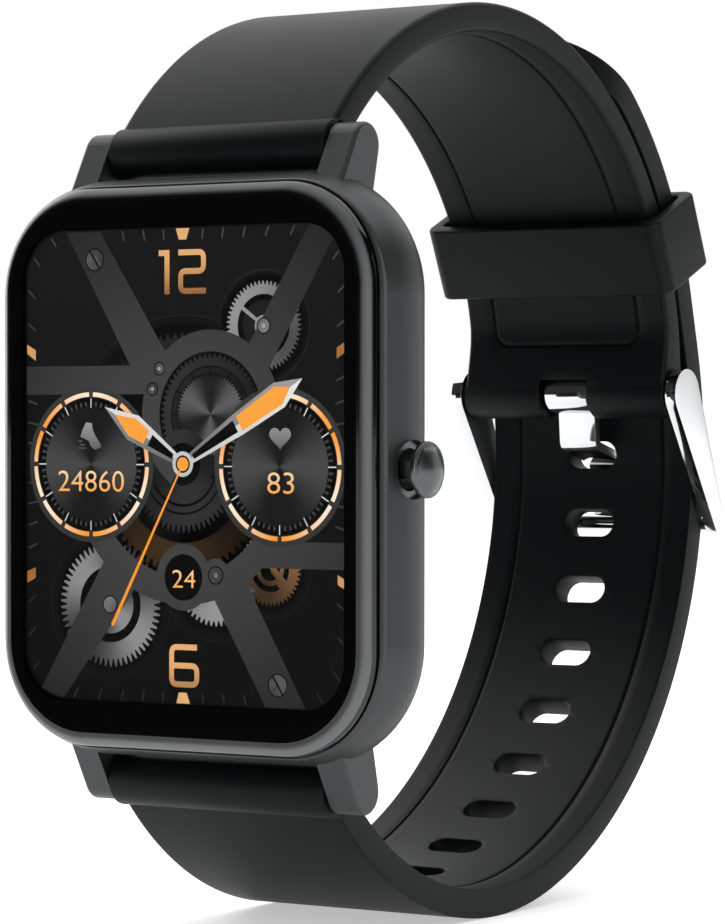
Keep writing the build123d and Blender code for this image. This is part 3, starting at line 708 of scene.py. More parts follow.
    def figures(self, text: str, low: Point, high: Point, level: float, tone: str) -> Object:
        """Figures that fill a box from its low to its high corner.

        Args:
            text: the figures.
            low: the box's low corner.
            high: the box's high corner.
            level: how near the glass.
            tone: name of their tone.

        Returns:
            The finished figures.
        """
        Bench.clear()
        bpy.ops.object.text_add(location=(0, 0, 0), rotation=(math.pi / 2, 0, 0))
        obj = bpy.context.object
        obj.data.body = text
        obj.data.size = 2 * MM
        obj.data.offset = -0.012 * MM
        obj.data.resolution_u = 4
        obj.data.fill_mode = "FRONT"
        bpy.ops.object.convert(target="MESH")
        obj = Bench.settle()
        xs, zs = [v.co.x for v in obj.data.vertices], [v.co.z for v in obj.data.vertices]
        left, wide, foot, tall = min(xs), max(xs) - min(xs), min(zs), max(zs) - min(zs)
        for v in obj.data.vertices:
            x = low[0] + (v.co.x - left) / wide * (high[0] - low[0])
            z = low[1] + (v.co.z - foot) / tall * (high[1] - low[1])
            v.co = (x * MM, self.depth(level), z * MM)
        Bench.edit(obj)
        bpy.ops.mesh.remove_doubles(threshold=0.0005 * MM)
        bpy.ops.mesh.tris_convert_to_quads()
        Bench.done()
        return self.thicken(obj, tone)

    def panel(self) -> list[Object]:
        """The module itself, a shallow black block with a bevelled rim, and its lit ground.

        Returns:
            The module and the ground.
        """
        low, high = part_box("display_panel")
        outline = rounded((-high.x / MM, low.z / MM), (high.x / MM, high.z / MM), 6.3, 12)
        body = self.plate(outline, -1.5, "void")
        Bench.edit(body, lambda f: f.normal.y > 0.5, "FACE")
        back = high.y - body.data.polygons[0].center.y - 0.01 * MM
        bpy.ops.mesh.extrude_region_move(TRANSFORM_OT_translate={"value": (0, back, 0)})
        bpy.ops.mesh.bevel(offset=0.08 * MM, segments=3, affect="EDGES")
        Bench.done()
        lit = rounded((-self.half_width, self.low), (self.half_width, self.high), self.corner, 12)
        return [body, self.plate(lit, 0, "ground")]

    def recesses(self) -> list[Object]:
        """Sunk rounds behind the gears, each with a faint edge.

        Returns:
            Their sheets.
        """
        parts = []
        for centre, radius, wide in ((HUB, 10.6, 11.15), (TOP_WHEEL, 3.8, 4.1), (BIG_WHEEL, 5.05, 5.6),
                                     (PINION, 4.35, 4.95), (ENGRAVED_WHEEL, 3.15, 3.6)):
            parts += [
                self.circle(centre, radius, 1.5, "void", 96),
                self.ring(centre, radius, wide, 1, "shadow", 96),
                self.ring(centre, wide, wide + 0.07, 1, "edge", 96),
            ]
        return parts

    def gears(self) -> list[Object]:
        """The gear train under the bridges; a toothed ring has four corners a tooth.

        Returns:
            Their sheets.
        """
        top_x, top_z = TOP_WHEEL
        x, z = ENGRAVED_WHEEL
        lever = [(x - 0.3, z + 1.6), (x + 0.2, z + 1.7), (x + 0.6, z), (x + 1.6, z - 1.0), (x + 1.2, z - 1.3),
                 (x + 0.1, z - 0.3)]
        spokes = []
        for a in (math.radians(d) for d in (145, 265, 25)):
            spoke = [(top_x + u * math.cos(a) - v * math.sin(a), top_z + u * math.sin(a) + v * math.cos(a))
                     for u, v in ((0.2, -0.12), (2.6, -0.15), (2.6, 0.15), (0.2, 0.12))]
            spokes.append(self.plate(spoke, 3, "silver_top"))
        return [
            self.ring(HUB, 8.2, 9.4, 2, "dark", 4 * 90, teeth=0.45, keep=lambda a: a < 80 or a > 280),
            self.ring(HUB, 5.9, 7.7, 2, "bronze", 4 * 72, teeth=0.5, keep=lambda a: 115 < a < 245),
            self.ring(HUB, 2.6, 4.6, 2.1, "steel", 4 * 64, teeth=0.55),
            self.ring(HUB, 3.0, 3.2, 2.3, "void", 96),
            self.ring(HUB, 3.65, 3.8, 2.3, "void", 96),
            self.circle(HUB, 2.6, 4, "steel"),
            self.ring(HUB, 1.0, 1.6, 4.5, "void"),
            self.ring(TOP_WHEEL, 2.35, 3.05, 3, "silver_top", 4 * 56, teeth=0.3),
            self.circle(TOP_WHEEL, 1.9, 2.5, "dark"),
            *spokes,
            self.ring(TOP_WHEEL, 0.0001, 0.8, 3.2, "silver_top", 48),
            self.ring(BIG_WHEEL, 2.88, 4.15, 3, "silver", 4 * 58, teeth=0.58),
            self.circle(BIG_WHEEL, 2.2, 3, "silver"),
            self.ring(PINION, 1.0, 3.45, 3, "silver_small", 4 * 50, teeth=0.38, keep=lambda a: 105 < a < 262),
            self.ring(ENGRAVED_WHEEL, 1.7, 2.5, 3, "brass", 4 * 44, teeth=0.26),
            self.ring(ENGRAVED_WHEEL, 0.9, 1.25, 3, "brass", 48, keep=lambda a: 60 < a < 300),
            self.circle((x + 1.0, z - 1.0), 0.42, 3.2, "brass", 32),
            self.plate(lever, 3.1, "brass"),
        ]

    def balance(self) -> list[Object]:
        """The spun centre wheel inside the upper bridge ring.

        Returns:
            Its sheets.
        """
        return [
            self.circle(SPUN_WHEEL, 4.75, 2.5, "void", 96),
            self.ring(SPUN_WHEEL, 3.65, 4.25, 3, "steel", 4 * 60, teeth=0.32),
            self.ring(SPUN_WHEEL, 3.12, 3.55, 3, "dark", 96),
            self.ring(SPUN_WHEEL, 2.55, 2.86, 3.2, "sun", 4 * 66, teeth=0.2),
            self.circle(SPUN_WHEEL, 2.56, 3.2, "sun", 96),
            self.ring(SPUN_WHEEL, 3.12, 3.58, 3.4, "void", 360, keep=lambda a: off_beat(a, 30) < 1.0),
        ]

    def bridges(self) -> list[Object]:
        """Bars, arms and rings that carry the train.

        Returns:
            Their sheets.
        """
        bars = (
            [(-11.0, 17.95), (-7.75, 17.95), (-1.3, 8.3), (-3.75, 5.59), (-4.86, 7.71)],
            [(11.48, 17.95), (13.2, 17.75), (14.0, 17.3), (13.48, 16.72), (7.63, 7.0), (5.4, 8.1)],
            [(-14.85, 7.76), (-4.3, 7.76), (-3.3, 5.59), (-14.85, 5.59)],
            [(6.3, -5.34), (14.85, -5.34), (14.85, -7.31), (6.9, -7.31)],
            [(-6.52, -5.7), (-3.35, -7.74), (-11.26, -17.6), (-12.2, -17.4), (-13.42, -16.93)],
            [(2.31, -8.7), (5.37, -7.52), (11.2, -17.6), (7.6, -17.6)],
        )
        return [
            *(self.plate(bar, 5, "bridge") for bar in bars),
            self.ring(SPUN_WHEEL, 4.72, 6.35, 5.1, "bridge", 144, keep=lambda a: a < 118 or a > 215),
            self.ring(HUB, 8.45, 10.55, 5.1, "bridge", 180, keep=lambda a: 118 < a < 236),
            self.ring(DATE_WINDOW, 1.72, 2.5, 5.2, "bridge"),
            self.ring(DATE_SCREW, 0.6, 1.25, 5.2, "bridge"),
            self.circle(DATE_WINDOW, 1.75, 5.3, "void"),
        ]

    def screws(self) -> list[Object]:
        """Slotted screws, small pins and pivot caps.

        Returns:
            Their sheets.
        """
        slotted = (((-8.27, 15.84), 0.78), ((8.7, -15.94), 0.78))
        plain = (((-2.17, 7.49), 0.42), ((-2.79, 5.98), 0.42), (DATE_SCREW, 0.6), (BIG_WHEEL, 0.6),
                 (TOP_WHEEL, 0.52))
        parts = []
        for at, radius in slotted + plain:
            slot = (at, radius) in slotted
            parts += [
                self.ring(at, radius, radius + 0.1, 6, "void", 40),
                self.circle(at, radius, 6, "cap", 40),
                self.circle(at, radius * 0.35, 6.3, "cap" if slot else "grey", 24),
            ]
            if slot:
                x, z = at
                u, v = 0.58 * radius, 0.86 * radius
                parts.append(self.plate([(x - u - 0.08, z + v), (x - u + 0.1, z + v), (x + u + 0.08, z - v),
                                         (x + u - 0.1, z - v)], 6.6, "void"))
        return parts

    def tick(self, minute: int) -> Object:
        """A mark on the border, on the line from the hub through a minute.

        Args:
            minute: the minute it stands for.

        Returns:
            The finished mark.
        """
        half, low, high = self.half_width - 0.1, self.low + 0.1, self.high - 0.1
        a = math.radians(6 * minute)
        run = Vector((math.sin(a), math.cos(a)))
        rise = high - HUB[1] if run.y > 0 else HUB[1] - low
        end = run * min(half / abs(run.x) if run.x else 99, rise / abs(run.y) if run.y else 99) + Vector(HUB)
        over = Vector((max(abs(end.x) - half + self.corner, 0),
                       max(abs(end.y - 0.2) - (high - low) / 2 + self.corner, 0)))
        if over.length > self.corner:
            end -= run * (over.length - self.corner) * 1.3
        start = end - run * (0.95 if abs(run.x) > 0.7 else 0.8)
        side = Vector((run.y, -run.x)) * 0.07
        corners = (start - side, end - side, end + side, start + side)
        return self.plate([tuple(corner) for corner in corners], 4.5, "tick")

    def minute_marks(self) -> list[Object]:
        """Radial marks along the border with the gold quarter marks.

        Returns:
            Their sheets.
        """
        gold = (
            [(-0.61, 18.0), (0.65, 18.0), (0.36, 17.15), (-0.32, 17.15)],
            [(-0.33, -16.8), (0.4, -16.8), (0.7, -17.62), (-0.55, -17.62)],
            [(-14.8, 9.45), (-13.97, 9.0), (-13.97, 8.19), (-14.8, 8.75)],
            [(14.8, 9.4), (13.94, 8.89), (13.94, 8.09), (14.8, 8.63)],
            [(-14.8, -8.0), (-13.98, -7.69), (-13.98, -8.49), (-14.8, -8.9)],
            [(14.04, -7.68), (14.8, -8.1), (14.8, -8.8), (14.04, -8.4)],
        )
        bare = (0, 10, 15, 20, 30, 40, 45, 50)
        ticks = [self.tick(minute) for minute in range(60) if minute not in bare]
        return ticks + [self.plate(mark, 6, "gold_side") for mark in gold]

    def numerals(self) -> list[Object]:
        """The gold 12 and 6.

        Returns:
            Their sheets.
        """
        one = [(-2.2, 16.4), (-1.2, 16.4), (-1.2, 13.07), (-1.66, 13.07), (-1.66, 15.96), (-2.2, 15.96)]
        two = [(-0.37, 16.19), (1.95, 16.19), (1.95, 14.78), (-0.16, 14.78), (-0.16, 13.29), (2.17, 13.29)]
        six = [(1.35, -13.39), (-1.0, -13.39), (-1.0, -16.19), (1.34, -16.19), (1.34, -14.78),
               (-0.79, -14.78)]
        return [self.plate(one, 6, "gold"), self.plate(self.stroke(two, 0.44, 0.45), 6, "gold"),
                self.plate(self.stroke(six, 0.44, 0.5), 6, "gold_low")]

    def small_dial(self, centre: Point, side: str, text: str, low: Point, high: Point) -> list[Object]:
        """A small dial with its ring of arcs, marks, spun disc and figures.

        Args:
            centre: its middle.
            side: left or right, which picks its tones.
            text: its figures.
            low: low corner of the figures' box.
            high: high corner of the figures' box.

        Returns:
            Its sheets.
        """
        return [
            self.ring(centre, 5.08, 5.92, 6, "rim", 144),
            self.ring(centre, 4.2, 5.1, 5.9, "void", 144),
            self.ring(centre, 5.15, 5.49, 6.3, f"arc_{side}", 360, keep=lambda a: off_beat(a, 30) > 1.8),
            self.ring(centre, 4.4, 4.75, 6.3, "fine", 360, keep=lambda a: off_beat(a, 6) < 0.9),
            self.ring(centre, 4.3, 5.02, 6.5, "white", 720, keep=lambda a: off_beat(a, 30) < 0.5),
            self.circle(centre, 4.34, 6.1, f"disc_{side}", 96),
            self.figures(text, low, high, 6.5, "cream"),
        ]

    def icons(self) -> list[Object]:
        """A shoe with three speed lines, and a heart.

        Returns:
            Their sheets.
        """
        shoe = [(-9.10, 3.46), (-8.54, 3.40), (-8.47, 2.96), (-8.29, 2.56), (-7.72, 1.80), (-7.64, 1.57),
                (-8.22, 1.37), (-8.59, 1.57), (-8.85, 2.06), (-9.35, 2.26), (-9.65, 2.36), (-9.40, 2.96)]
        heart = []
        for i in range(48):
            t = TURN * i / 48
            x = 16 * math.sin(t) ** 3
            z = 13 * math.cos(t) - 5 * math.cos(2 * t) - 2 * math.cos(3 * t) - math.cos(4 * t)
            heart.append((8.92 + x * 0.061, 2.36 + z * 0.058))
        parts = [self.plate(shoe, 6.5, "icon"), self.plate(heart, 6.5, "icon")]
        for x, wide, z in ((-9.8, 0.33, 2.0), (-9.65, 0.43, 1.72), (-9.8, 0.7, 1.47)):
            line = [(x, z), (x + wide, z), (x + wide, z + 0.07), (x, z + 0.07)]
            parts.append(self.plate(line, 6.5, "icon"))
        return parts

    @staticmethod
    def spots(tip: Point, pairs: Sequence[Point]) -> list[Point]:
        """Places from (distance from the hub, offset to its left) pairs, on the way from the hub to a tip.

        Args:
            tip: where the line ends.
            pairs: the pairs.

        Returns:
            The places.
        """
        run = (Vector(tip) - Vector(HUB)).normalized()
        side = Vector((-run.y, run.x))
        return [tuple(Vector(HUB) + run * u + side * v) for u, v in pairs]

    def hand(self, tip: Point, outer: Sequence[Point], dark: Sequence[Point], bright: Sequence[Point],
             level: float) -> list[Object]:
        """A pointed hand with a two-tone edge, a dark stem and an orange inlay.

        Args:
            tip: its point.
            outer: (distance from hub, half width) pairs of the edge.
            dark: the same for the stem.
            bright: the same for the inlay.
            level: how near the glass.

        Returns:
            Its sheets.
        """
        parts = []
        for tone, way in (("grey", 1), ("bright", -1)):
            edge = [(outer[0][0], 0), *((u, way * v) for u, v in outer)]
            parts.append(self.plate(self.spots(tip, edge), level, tone))
        for inlay, tone in ((dark, "void"), (bright, "orange")):
            both = [*inlay, *((u, -v) for u, v in reversed(inlay) if v)]
            parts.append(self.plate(self.spots(tip, both), level + 0.5, tone))
        return parts

    def hands(self) -> list[Object]:
        """Hour, minute and second hands with the hub.

        Returns:
            Their sheets.
        """
        hour = self.hand((-7.34, 4.65), [(0.6, 0.38), (3.6, 0.82), (5.4, 1.06), (8.52, 0.0)],
                         [(1.1, 0.2), (3.55, 0.47)], [(3.95, 0.56), (5.5, 0.74), (7.4, 0.0)], 8)
        minute = self.hand((10.87, 6.68), [(0.6, 0.38), (5.9, 0.88), (10.2, 1.03), (12.59, 0.0)],
                           [(1.1, 0.2), (5.6, 0.5)], [(6.02, 0.62), (10.1, 0.76), (11.35, 0.0)], 8.2)
        needle = self.spots((-6.6, -12.0),
                            [(0.3, 0.07), (13.9, 0.14), (13.98, 0.0), (13.9, -0.14), (0.3, -0.07)])
        return [*hour, *minute, self.ring(HUB, 0.62, 0.95, 9.3, "bright", 64),
                self.ring(HUB, 0.5, 0.66, 9.6, "void", 64), self.plate(needle, 10.0, "orange"),
                self.circle(HUB, 0.52, 10.3, "orange", 48)]

    def build(self) -> None:
        """Builds every sheet and hands the groups over."""
        groups = {
            "display_module": self.panel(),
            "picture_recesses": self.recesses(),
            "picture_gears": self.gears(),
            "picture_centre_wheel": self.balance(),
            "picture_bridges": self.bridges(),
            "picture_screws": self.screws(),
            "picture_minute_marks": self.minute_marks(),
            "picture_numerals": self.numerals(),
            "picture_left_dial": self.small_dial(LEFT_DIAL, "left", "24860", (-11.76, -1.81), (-5.48, -0.22)),
            "picture_right_dial": self.small_dial(RIGHT_DIAL, "right", "83", (7.77, -1.81), (10.17, -0.23)),
            "picture_icons": self.icons(),
            "picture_date": [self.figures("24", (-0.93, -8.94), (1.2, -7.61), 6.5, "date")],
            "picture_hands": self.hands(),
        }
        for name, parts in groups.items():
            nodes = ("display_panel",) if name == "display_module" else ()
            Bench.hand_over(Bench.join(name, parts), "watch", "display", *nodes)


# ---------------------------------------------------------------- studio


@dataclass
class Studio:
    """Camera, soft lights and pale floor."""

    camera_place: tuple = (0.16991, -0.23941, 0.00316)
    right: tuple = (0.8327, 0.5537, 0.0004)
    up: tuple = (-0.0054, 0.0075, 1.0)
    back: tuple = (0.5537, -0.8327, 0.0093)
    lens: float = 149.0
    surroundings: float = 0.035

    @staticmethod
    def put(name: str, data: bpy.types.ID) -> Object:
        """Puts a camera or a light into the scene.

        Args:
            name: the object's name.
            data: the camera or light.

        Returns:
            Its object.
        """
        obj = bpy.data.objects.new(name, data)
        bpy.context.scene.collection.objects.link(obj)
        return obj

    @staticmethod
    def facing(place: tuple, aim: tuple) -> Euler:
        """The turn that makes an object at a place face a point."""
        return (Vector(aim) - Vector(place)).to_track_quat("-Z", "Y").to_euler()

    def camera(self) -> None:
        """Sets up the camera."""
        data = bpy.data.cameras.new("camera")
        data.lens, data.sensor_width, data.clip_start, data.clip_end = self.lens, 36.0, 0.01, 20.0
        back = Vector(self.back).normalized()
        right = Vector(self.right)
        right = (right - back * right.dot(back)).normalized()
        turn = Matrix((right, back.cross(right), back)).transposed().to_4x4()
        obj = self.put("camera", data)
        obj.matrix_world = Matrix.Translation(self.camera_place) @ turn
        bpy.context.scene.camera = obj

    def light(self, name: str, place: tuple, aim: tuple, size: tuple, watts: float) -> None:
        """Adds a soft box that faces a point.

        Args:
            name: its name.
            place: where it stands.
            aim: the point it faces.
            size: width and height.
            watts: its power.
        """
        data = bpy.data.lights.new(name, "AREA")
        data.shape, data.size, data.size_y, data.energy = "RECTANGLE", size[0], size[1], watts
        obj = self.put(name, data)
        obj.location, obj.rotation_euler = place, self.facing(place, aim)

    def floor(self) -> None:
        """A wide pale floor under the strap."""
        Bench.clear()
        bpy.ops.mesh.primitive_plane_add(size=30.0, location=(0, 0, CAD_BOX[0].z))
        obj = Bench.settle()
        obj.name = "floor"
        paper = Finish("floor paper", "f6f6f6", "f8f8f8", 0.95, 0.02, 0.0, Grain.CAST, 1.0, 0.0, glow=0.5)
        Bench.dress(obj, paper.make())

    def flag(self, name: str, place: tuple, aim: tuple, size: tuple) -> None:
        """A dark card that keeps stray light out of the flat of the glass; the camera doesn't see it.

        Args:
            name: its name.
            place: where it stands.
            aim: the point it faces.
            size: width and height.
        """
        Bench.clear()
        bpy.ops.mesh.primitive_plane_add(size=1.0, location=place, rotation=self.facing(place, aim))
        card = bpy.context.object
        card.scale = (size[0], size[1], 1.0)
        card = Bench.settle(card)
        card.name = name
        cloth = Finish("flag cloth", "040404", "060606", 1.0, 0.0, 0.0, Grain.CAST, 1.0, 0.0)
        Bench.dress(card, cloth.make())
        card.visible_camera = card.visible_shadow = card.visible_diffuse = False

    def world(self) -> None:
        """Pale surroundings, dim enough to leave the object its depth."""
        world = bpy.data.worlds.new("studio")
        world.use_nodes = True
        tree = world.node_tree
        background = tree.nodes["Background"]
        background.inputs["Color"].default_value = (1.0, 1.0, 1.0, 1.0)
        seen = tree.nodes.new("ShaderNodeLightPath")
        mix = tree.nodes.new("ShaderNodeMix")
        mix.inputs[2].default_value, mix.inputs[3].default_value = self.surroundings, 1.0
        tree.links.new(seen.outputs["Is Camera Ray"], mix.inputs[0])
        tree.links.new(mix.outputs[0], background.inputs["Strength"])
        bpy.context.scene.world = world

    def overhead(self) -> None:
        """The wide soft ceiling light."""
        data = bpy.data.lights.new("ceiling", "SUN")
        data.energy, data.angle = 2.9, math.radians(100)
        obj = self.put("ceiling", data)
        obj.rotation_euler = Vector((-0.25, 0.38, 0.9)).to_track_quat("Z", "Y").to_euler()

    def build(self) -> None:
        """Sets everything up."""
        bpy.context.scene.view_settings.view_transform = "Standard"
        self.camera()
        self.world()
        self.floor()
        self.overhead()
        self.flag("flag", (-0.085, -0.125, -0.0013), (0, 0, -0.0013), (0.075, 0.069))
        self.light("left box", (-0.5, 0.1, 0.1), (0, 0.0, 0), (0.3, 0.6), 1.8)
        self.light("key box", (0.5, -0.32, 0.12), (0.02, 0.0, 0), (0.35, 0.6), 1.3)
        self.light("rim box", (0.33, 0.5, 0.0), (0.015, 0.03, 0), (0.45, 0.6), 0.8)


CAST, LINES_X, LINES_Z, POLISHED, MOULDED, WOVEN = Grain

FINISHES = {
    "case_metal": Finish("satin gunmetal", "404343", "4b4e4e", 0.42, 0.05, 0.9, CAST, 0.05, 0.0015),
    "black_seal": Finish("black seal rubber", "0c0c0d", "151516", 0.6, 0.08, 0.0, MOULDED, 0.2, 0.003),
    "flex_ribbon": Finish("amber flex ribbon", "7a4314", "8f5520", 0.4, 0.05, 0.0, WOVEN, 0.3, 0.002),
    "stamped_steel": Finish("stamped steel", "9a9c9e", "b4b6b8", 0.35, 0.08, 1.0, LINES_Z, 0.08, 0.002),
    "circuit_board": Finish("green circuit board", "0b3a1f", "14502c", 0.45, 0.06, 0.0, WOVEN, 0.4, 0.004,
                            0.3),
    "chip_resin": Finish("chip resin", "151516", "1f1f21", 0.65, 0.06, 0.0, CAST, 0.06, 0.003),
    "battery_foil": Finish("battery foil", "8d9092", "a3a6a8", 0.32, 0.08, 0.85, CAST, 0.6, 0.006),
    "crown_metal": Finish("satin crown metal", "545858", "606464", 0.3, 0.04, 0.95, POLISHED, 0.1, 0.0006),
    "rear_plastic": Finish("gloss rear plastic", "0b0c0d", "111213", 0.2, 0.04, 0.0, MOULDED, 0.3, 0.001,
                           0.4),
    "sensor_lamps": Finish("sensor lamps", "3a1212", "1f3a1c", 0.2, 0.05, 0.0, MOULDED, 0.8, 0.001, 0.5),
    "gold_contacts": Finish("gold contacts", "c98f3c", "dda650", 0.24, 0.06, 1.0, CAST, 0.08, 0.001),
    "magnet": Finish("nickel magnet", "a9abad", "c0c2c4", 0.25, 0.06, 1.0, CAST, 0.12, 0.001),
    "strap_silicone": Finish("black silicone", "050708", "0a0e0f", 0.5, 0.05, 0.0, MOULDED, 0.06, 0.002,
                             shine=0.14),
    "buckle_chrome": Finish("polished chrome", "cdced0", "dcdddf", 0.07, 0.03, 1.0, POLISHED, 0.15, 0.0004,
                            side=0.22),
    "bar_steel": Finish("turned steel", "8f9193", "a8aaac", 0.25, 0.06, 1.0, LINES_X, 0.06, 0.001),
}


# ---------------------------------------------------------------- silicone strap


@dataclass(frozen=True)
class Bend:
    """A stretch of a strap's inner face, seen from the side: an arc, or straight where the radius is 0."""

    middle: Point
    radius: float
    start: float
    sweep: float

    def length(self) -> float:
        """Length along it; a straight stretch keeps its length as its sweep."""
        return abs(math.radians(self.sweep)) * self.radius if self.radius else self.sweep

    def spot(self, along: float) -> tuple[Vector, Vector]:
        """Foot point and outward direction in Y and Z, at a distance along it.

        Args:
            along: distance along it.

        Returns:
            The foot point and the direction.
        """
        if not self.radius:
            out = Vector((math.cos(math.radians(self.start)), math.sin(math.radians(self.start))))
            return Vector(self.middle) + Vector((-out.y, out.x)) * along, out
        angle = math.radians(self.start) + math.copysign(along / self.radius, self.sweep)
        out = Vector((math.cos(angle), math.sin(angle)))
        return Vector(self.middle) + out * self.radius, out


@dataclass
class Strap:
    """One half of the strap, shaped flat and then wrapped round its bends."""

    name: str
    bends: tuple
    columns: tuple
    groove: Point = (7.05, 7.35)
    groove_depth: float = 0.16
    groove_stop: float = 0.0
    swell: float = 0.0
    swell_length: float = 6.5
    holes: tuple = ()
    hole_radius: float = 1.2
    hole_reach: float = 1.25
    slot_from: float = 0.0
    slot_half: float = 2.45
    tip: float = 0.0
    half: float = 10.0
    thick: float = 2.3
    edge: float = 0.38
    round_corner: float = 1.45
    row_pitch: float = 0.8
    bore: float = 1.15

    def total(self) -> float:
        """Length from the lug to the far end."""
        return sum(bend.length() for bend in self.bends)

    def spot(self, along: float) -> tuple[Vector, Vector]:
        """Foot point and outward direction at a distance from the lug.

        Args:
            along: distance from the lug.

        Returns:
            The foot point and the direction.
        """
        for bend in self.bends:
            if along <= bend.length() or bend is self.bends[-1]:
                return bend.spot(along)
            along -= bend.length()
        raise ValueError(along)

    def rows(self) -> list[float]:
        """Places of the cross rows along the strap.

        Returns:
            Distances from the lug.
        """
        end = self.total()
        body = end - self.tip
        count = round(body / self.row_pitch)
        rows = [body * i / count for i in range(count + 1)]
        if self.groove_stop:
            marks = [self.groove_stop - self.round_corner + d for d in (0.0, 0.3, 0.6, 0.9, 1.15, 1.45)]
            clear = [r for r in rows if all(abs(r - m) > 0.22 for m in marks)]
            rows = [r for r in clear if not marks[0] < r < marks[-1]] + marks
        if self.slot_from:
            rows = [r for r in rows if abs(r - self.slot_from) > 0.3] + [self.slot_from]
        if self.tip:
            rows += [body + self.tip * math.sin(math.radians(4 * i)) for i in range(1, 22)]
        return sorted(rows)

    def flat(self) -> Object:
        """The flat blank with its rows and columns where they are needed.

        Returns:
            The blank, lying on X and Y in millimetres.
        """
        xs = sorted({-c for c in self.columns} | set(self.columns))
        rows = self.rows()
        Bench.clear()
        bpy.ops.mesh.primitive_grid_add(x_subdivisions=len(xs) - 1, y_subdivisions=len(rows) - 1, size=1.0)
        obj = bpy.context.object
        for v in obj.data.vertices:
            i, j = round((v.co.x + 0.5) * (len(xs) - 1)), round((v.co.y + 0.5) * (len(rows) - 1))
            v.co = (xs[i], rows[j], 0.0)
        if self.slot_from:
            low, half = self.slot_from, self.slot_half
            Bench.edit(obj, lambda f: abs(f.center.x) < half and f.center.y > low, "FACE")
            bpy.ops.mesh.delete(type="FACE")
            Bench.done()
        Bench.edit(obj)
        bpy.ops.mesh.extrude_region_move(TRANSFORM_OT_translate={"value": (0, 0, self.thick)})
        bpy.ops.mesh.normals_make_consistent(inside=False)
        Bench.done()
        return obj

    def soften(self, obj: Object) -> None:
        """Rounds the long edges and the tip.

        Args:
            obj: the flat strap.
        """
        ends = self.total()
        places = obj.data.vertices

        def outer(edge: MeshEdge) -> bool:
            """Picks the long edges of both faces, and the tip's.

            Args:
                edge: the edge.

            Returns:
                True for these.
            """
            a, b = (places[i].co for i in edge.vertices)
            level = abs(a.z - b.z) < 1e-4
            side = all(abs(abs(end.x) - self.half) < 1e-3 for end in (a, b)) and abs(a.x - b.x) < 1e-3
            tip = bool(self.tip) and a.y > ends - 0.05 and b.y > ends - 0.05
            return level and (side or tip)

        Bench.edit(obj, outer, "EDGE")
        bpy.ops.mesh.bevel(offset=self.edge, segments=4, affect="EDGES", clamp_overlap=True)
        Bench.done()

    def carve(self, obj: Object) -> None:
        """Sinks the groove lines into the inner face.

        Args:
            obj: the flat strap.
        """
        low, high = self.groove
        stop = self.groove_stop or self.total()

        def in_groove(face: MeshPolygon) -> bool:
            """Picks the inner faces on the groove line.

            Args:
                face: the face.

            Returns:
                True for these.
            """
            c = face.center
            line = low < abs(c.x) < high and c.y < stop
            bar = bool(self.groove_stop) and abs(c.x) < high and stop - 0.3 < c.y < stop
            return abs(c.z) < 1e-3 and face.normal.z < -0.9 and (line or bar)

        Bench.edit(obj, in_groove, "FACE")
        bpy.ops.mesh.extrude_region_move(TRANSFORM_OT_translate={"value": (0, 0, self.groove_depth)})
        Bench.done()
        if self.groove_stop:
            middle_x, middle_s = high - self.round_corner, stop - self.round_corner
            for v in obj.data.vertices:
                u, w = abs(v.co.x) - middle_x, v.co.y - middle_s
                most = max(u, w)
                if v.co.z < self.groove_depth + 1e-3 and u > 0 and w > 0 and most < self.round_corner + 1e-3:
                    size = most / math.hypot(u, w)
                    v.co.x = math.copysign(middle_x + u * size, v.co.x)
                    v.co.y = middle_s + w * size

    def punch(self, obj: Object) -> None:
        """Punches the buckle holes, long across the strap with round ends.

        Args:
            obj: the flat strap.
        """
        cutters = []
        for along in self.holes:
            Bench.clear()
            bpy.ops.mesh.primitive_circle_add(vertices=40, radius=self.hole_radius, fill_type="NGON",
                                              location=(0, along, -1.0))
            cutter = Bench.settle()
            Bench.edit(cutter, lambda v: v.co.x > 1e-4)
            bpy.ops.transform.translate(value=(self.hole_reach, 0, 0))
            Bench.done()
            Bench.edit(cutter, lambda v: v.co.x < 1e-4)
            bpy.ops.transform.translate(value=(-self.hole_reach, 0, 0))
            bpy.ops.mesh.select_all(action="SELECT")
            bpy.ops.mesh.extrude_region_move(TRANSFORM_OT_translate={"value": (0, 0, self.thick + 2.0)})
            bpy.ops.mesh.normals_make_consistent(inside=False)
            Bench.done()
            cutters.append(cutter)
        cutter = Bench.join("hole_cutter", cutters)
        Bench.modify(obj, "BOOLEAN", operation="DIFFERENCE", object=cutter, solver="EXACT")
        bpy.data.objects.remove(cutter)

    def wrap(self, obj: Object) -> None:
        """Bends the flat strap round its path and narrows its tip.

        Args:
            obj: the flat strap.
        """
        body = self.total() - self.tip
        for v in obj.data.vertices:
            x, along, out = v.co
            if self.tip and along > body:
                x *= math.sqrt(max(1 - ((along - body) / self.tip) ** 2, 0.004))
            rise = max(0.0, 1 - (self.total() - along) / self.swell_length)
            out -= self.swell * rise * rise * (3 - 2 * rise) * (1 - out / self.thick)
            foot, way = self.spot(along)
            v.co = (x * MM, (foot.x + way.x * out) * MM, (foot.y + way.y * out) * MM)

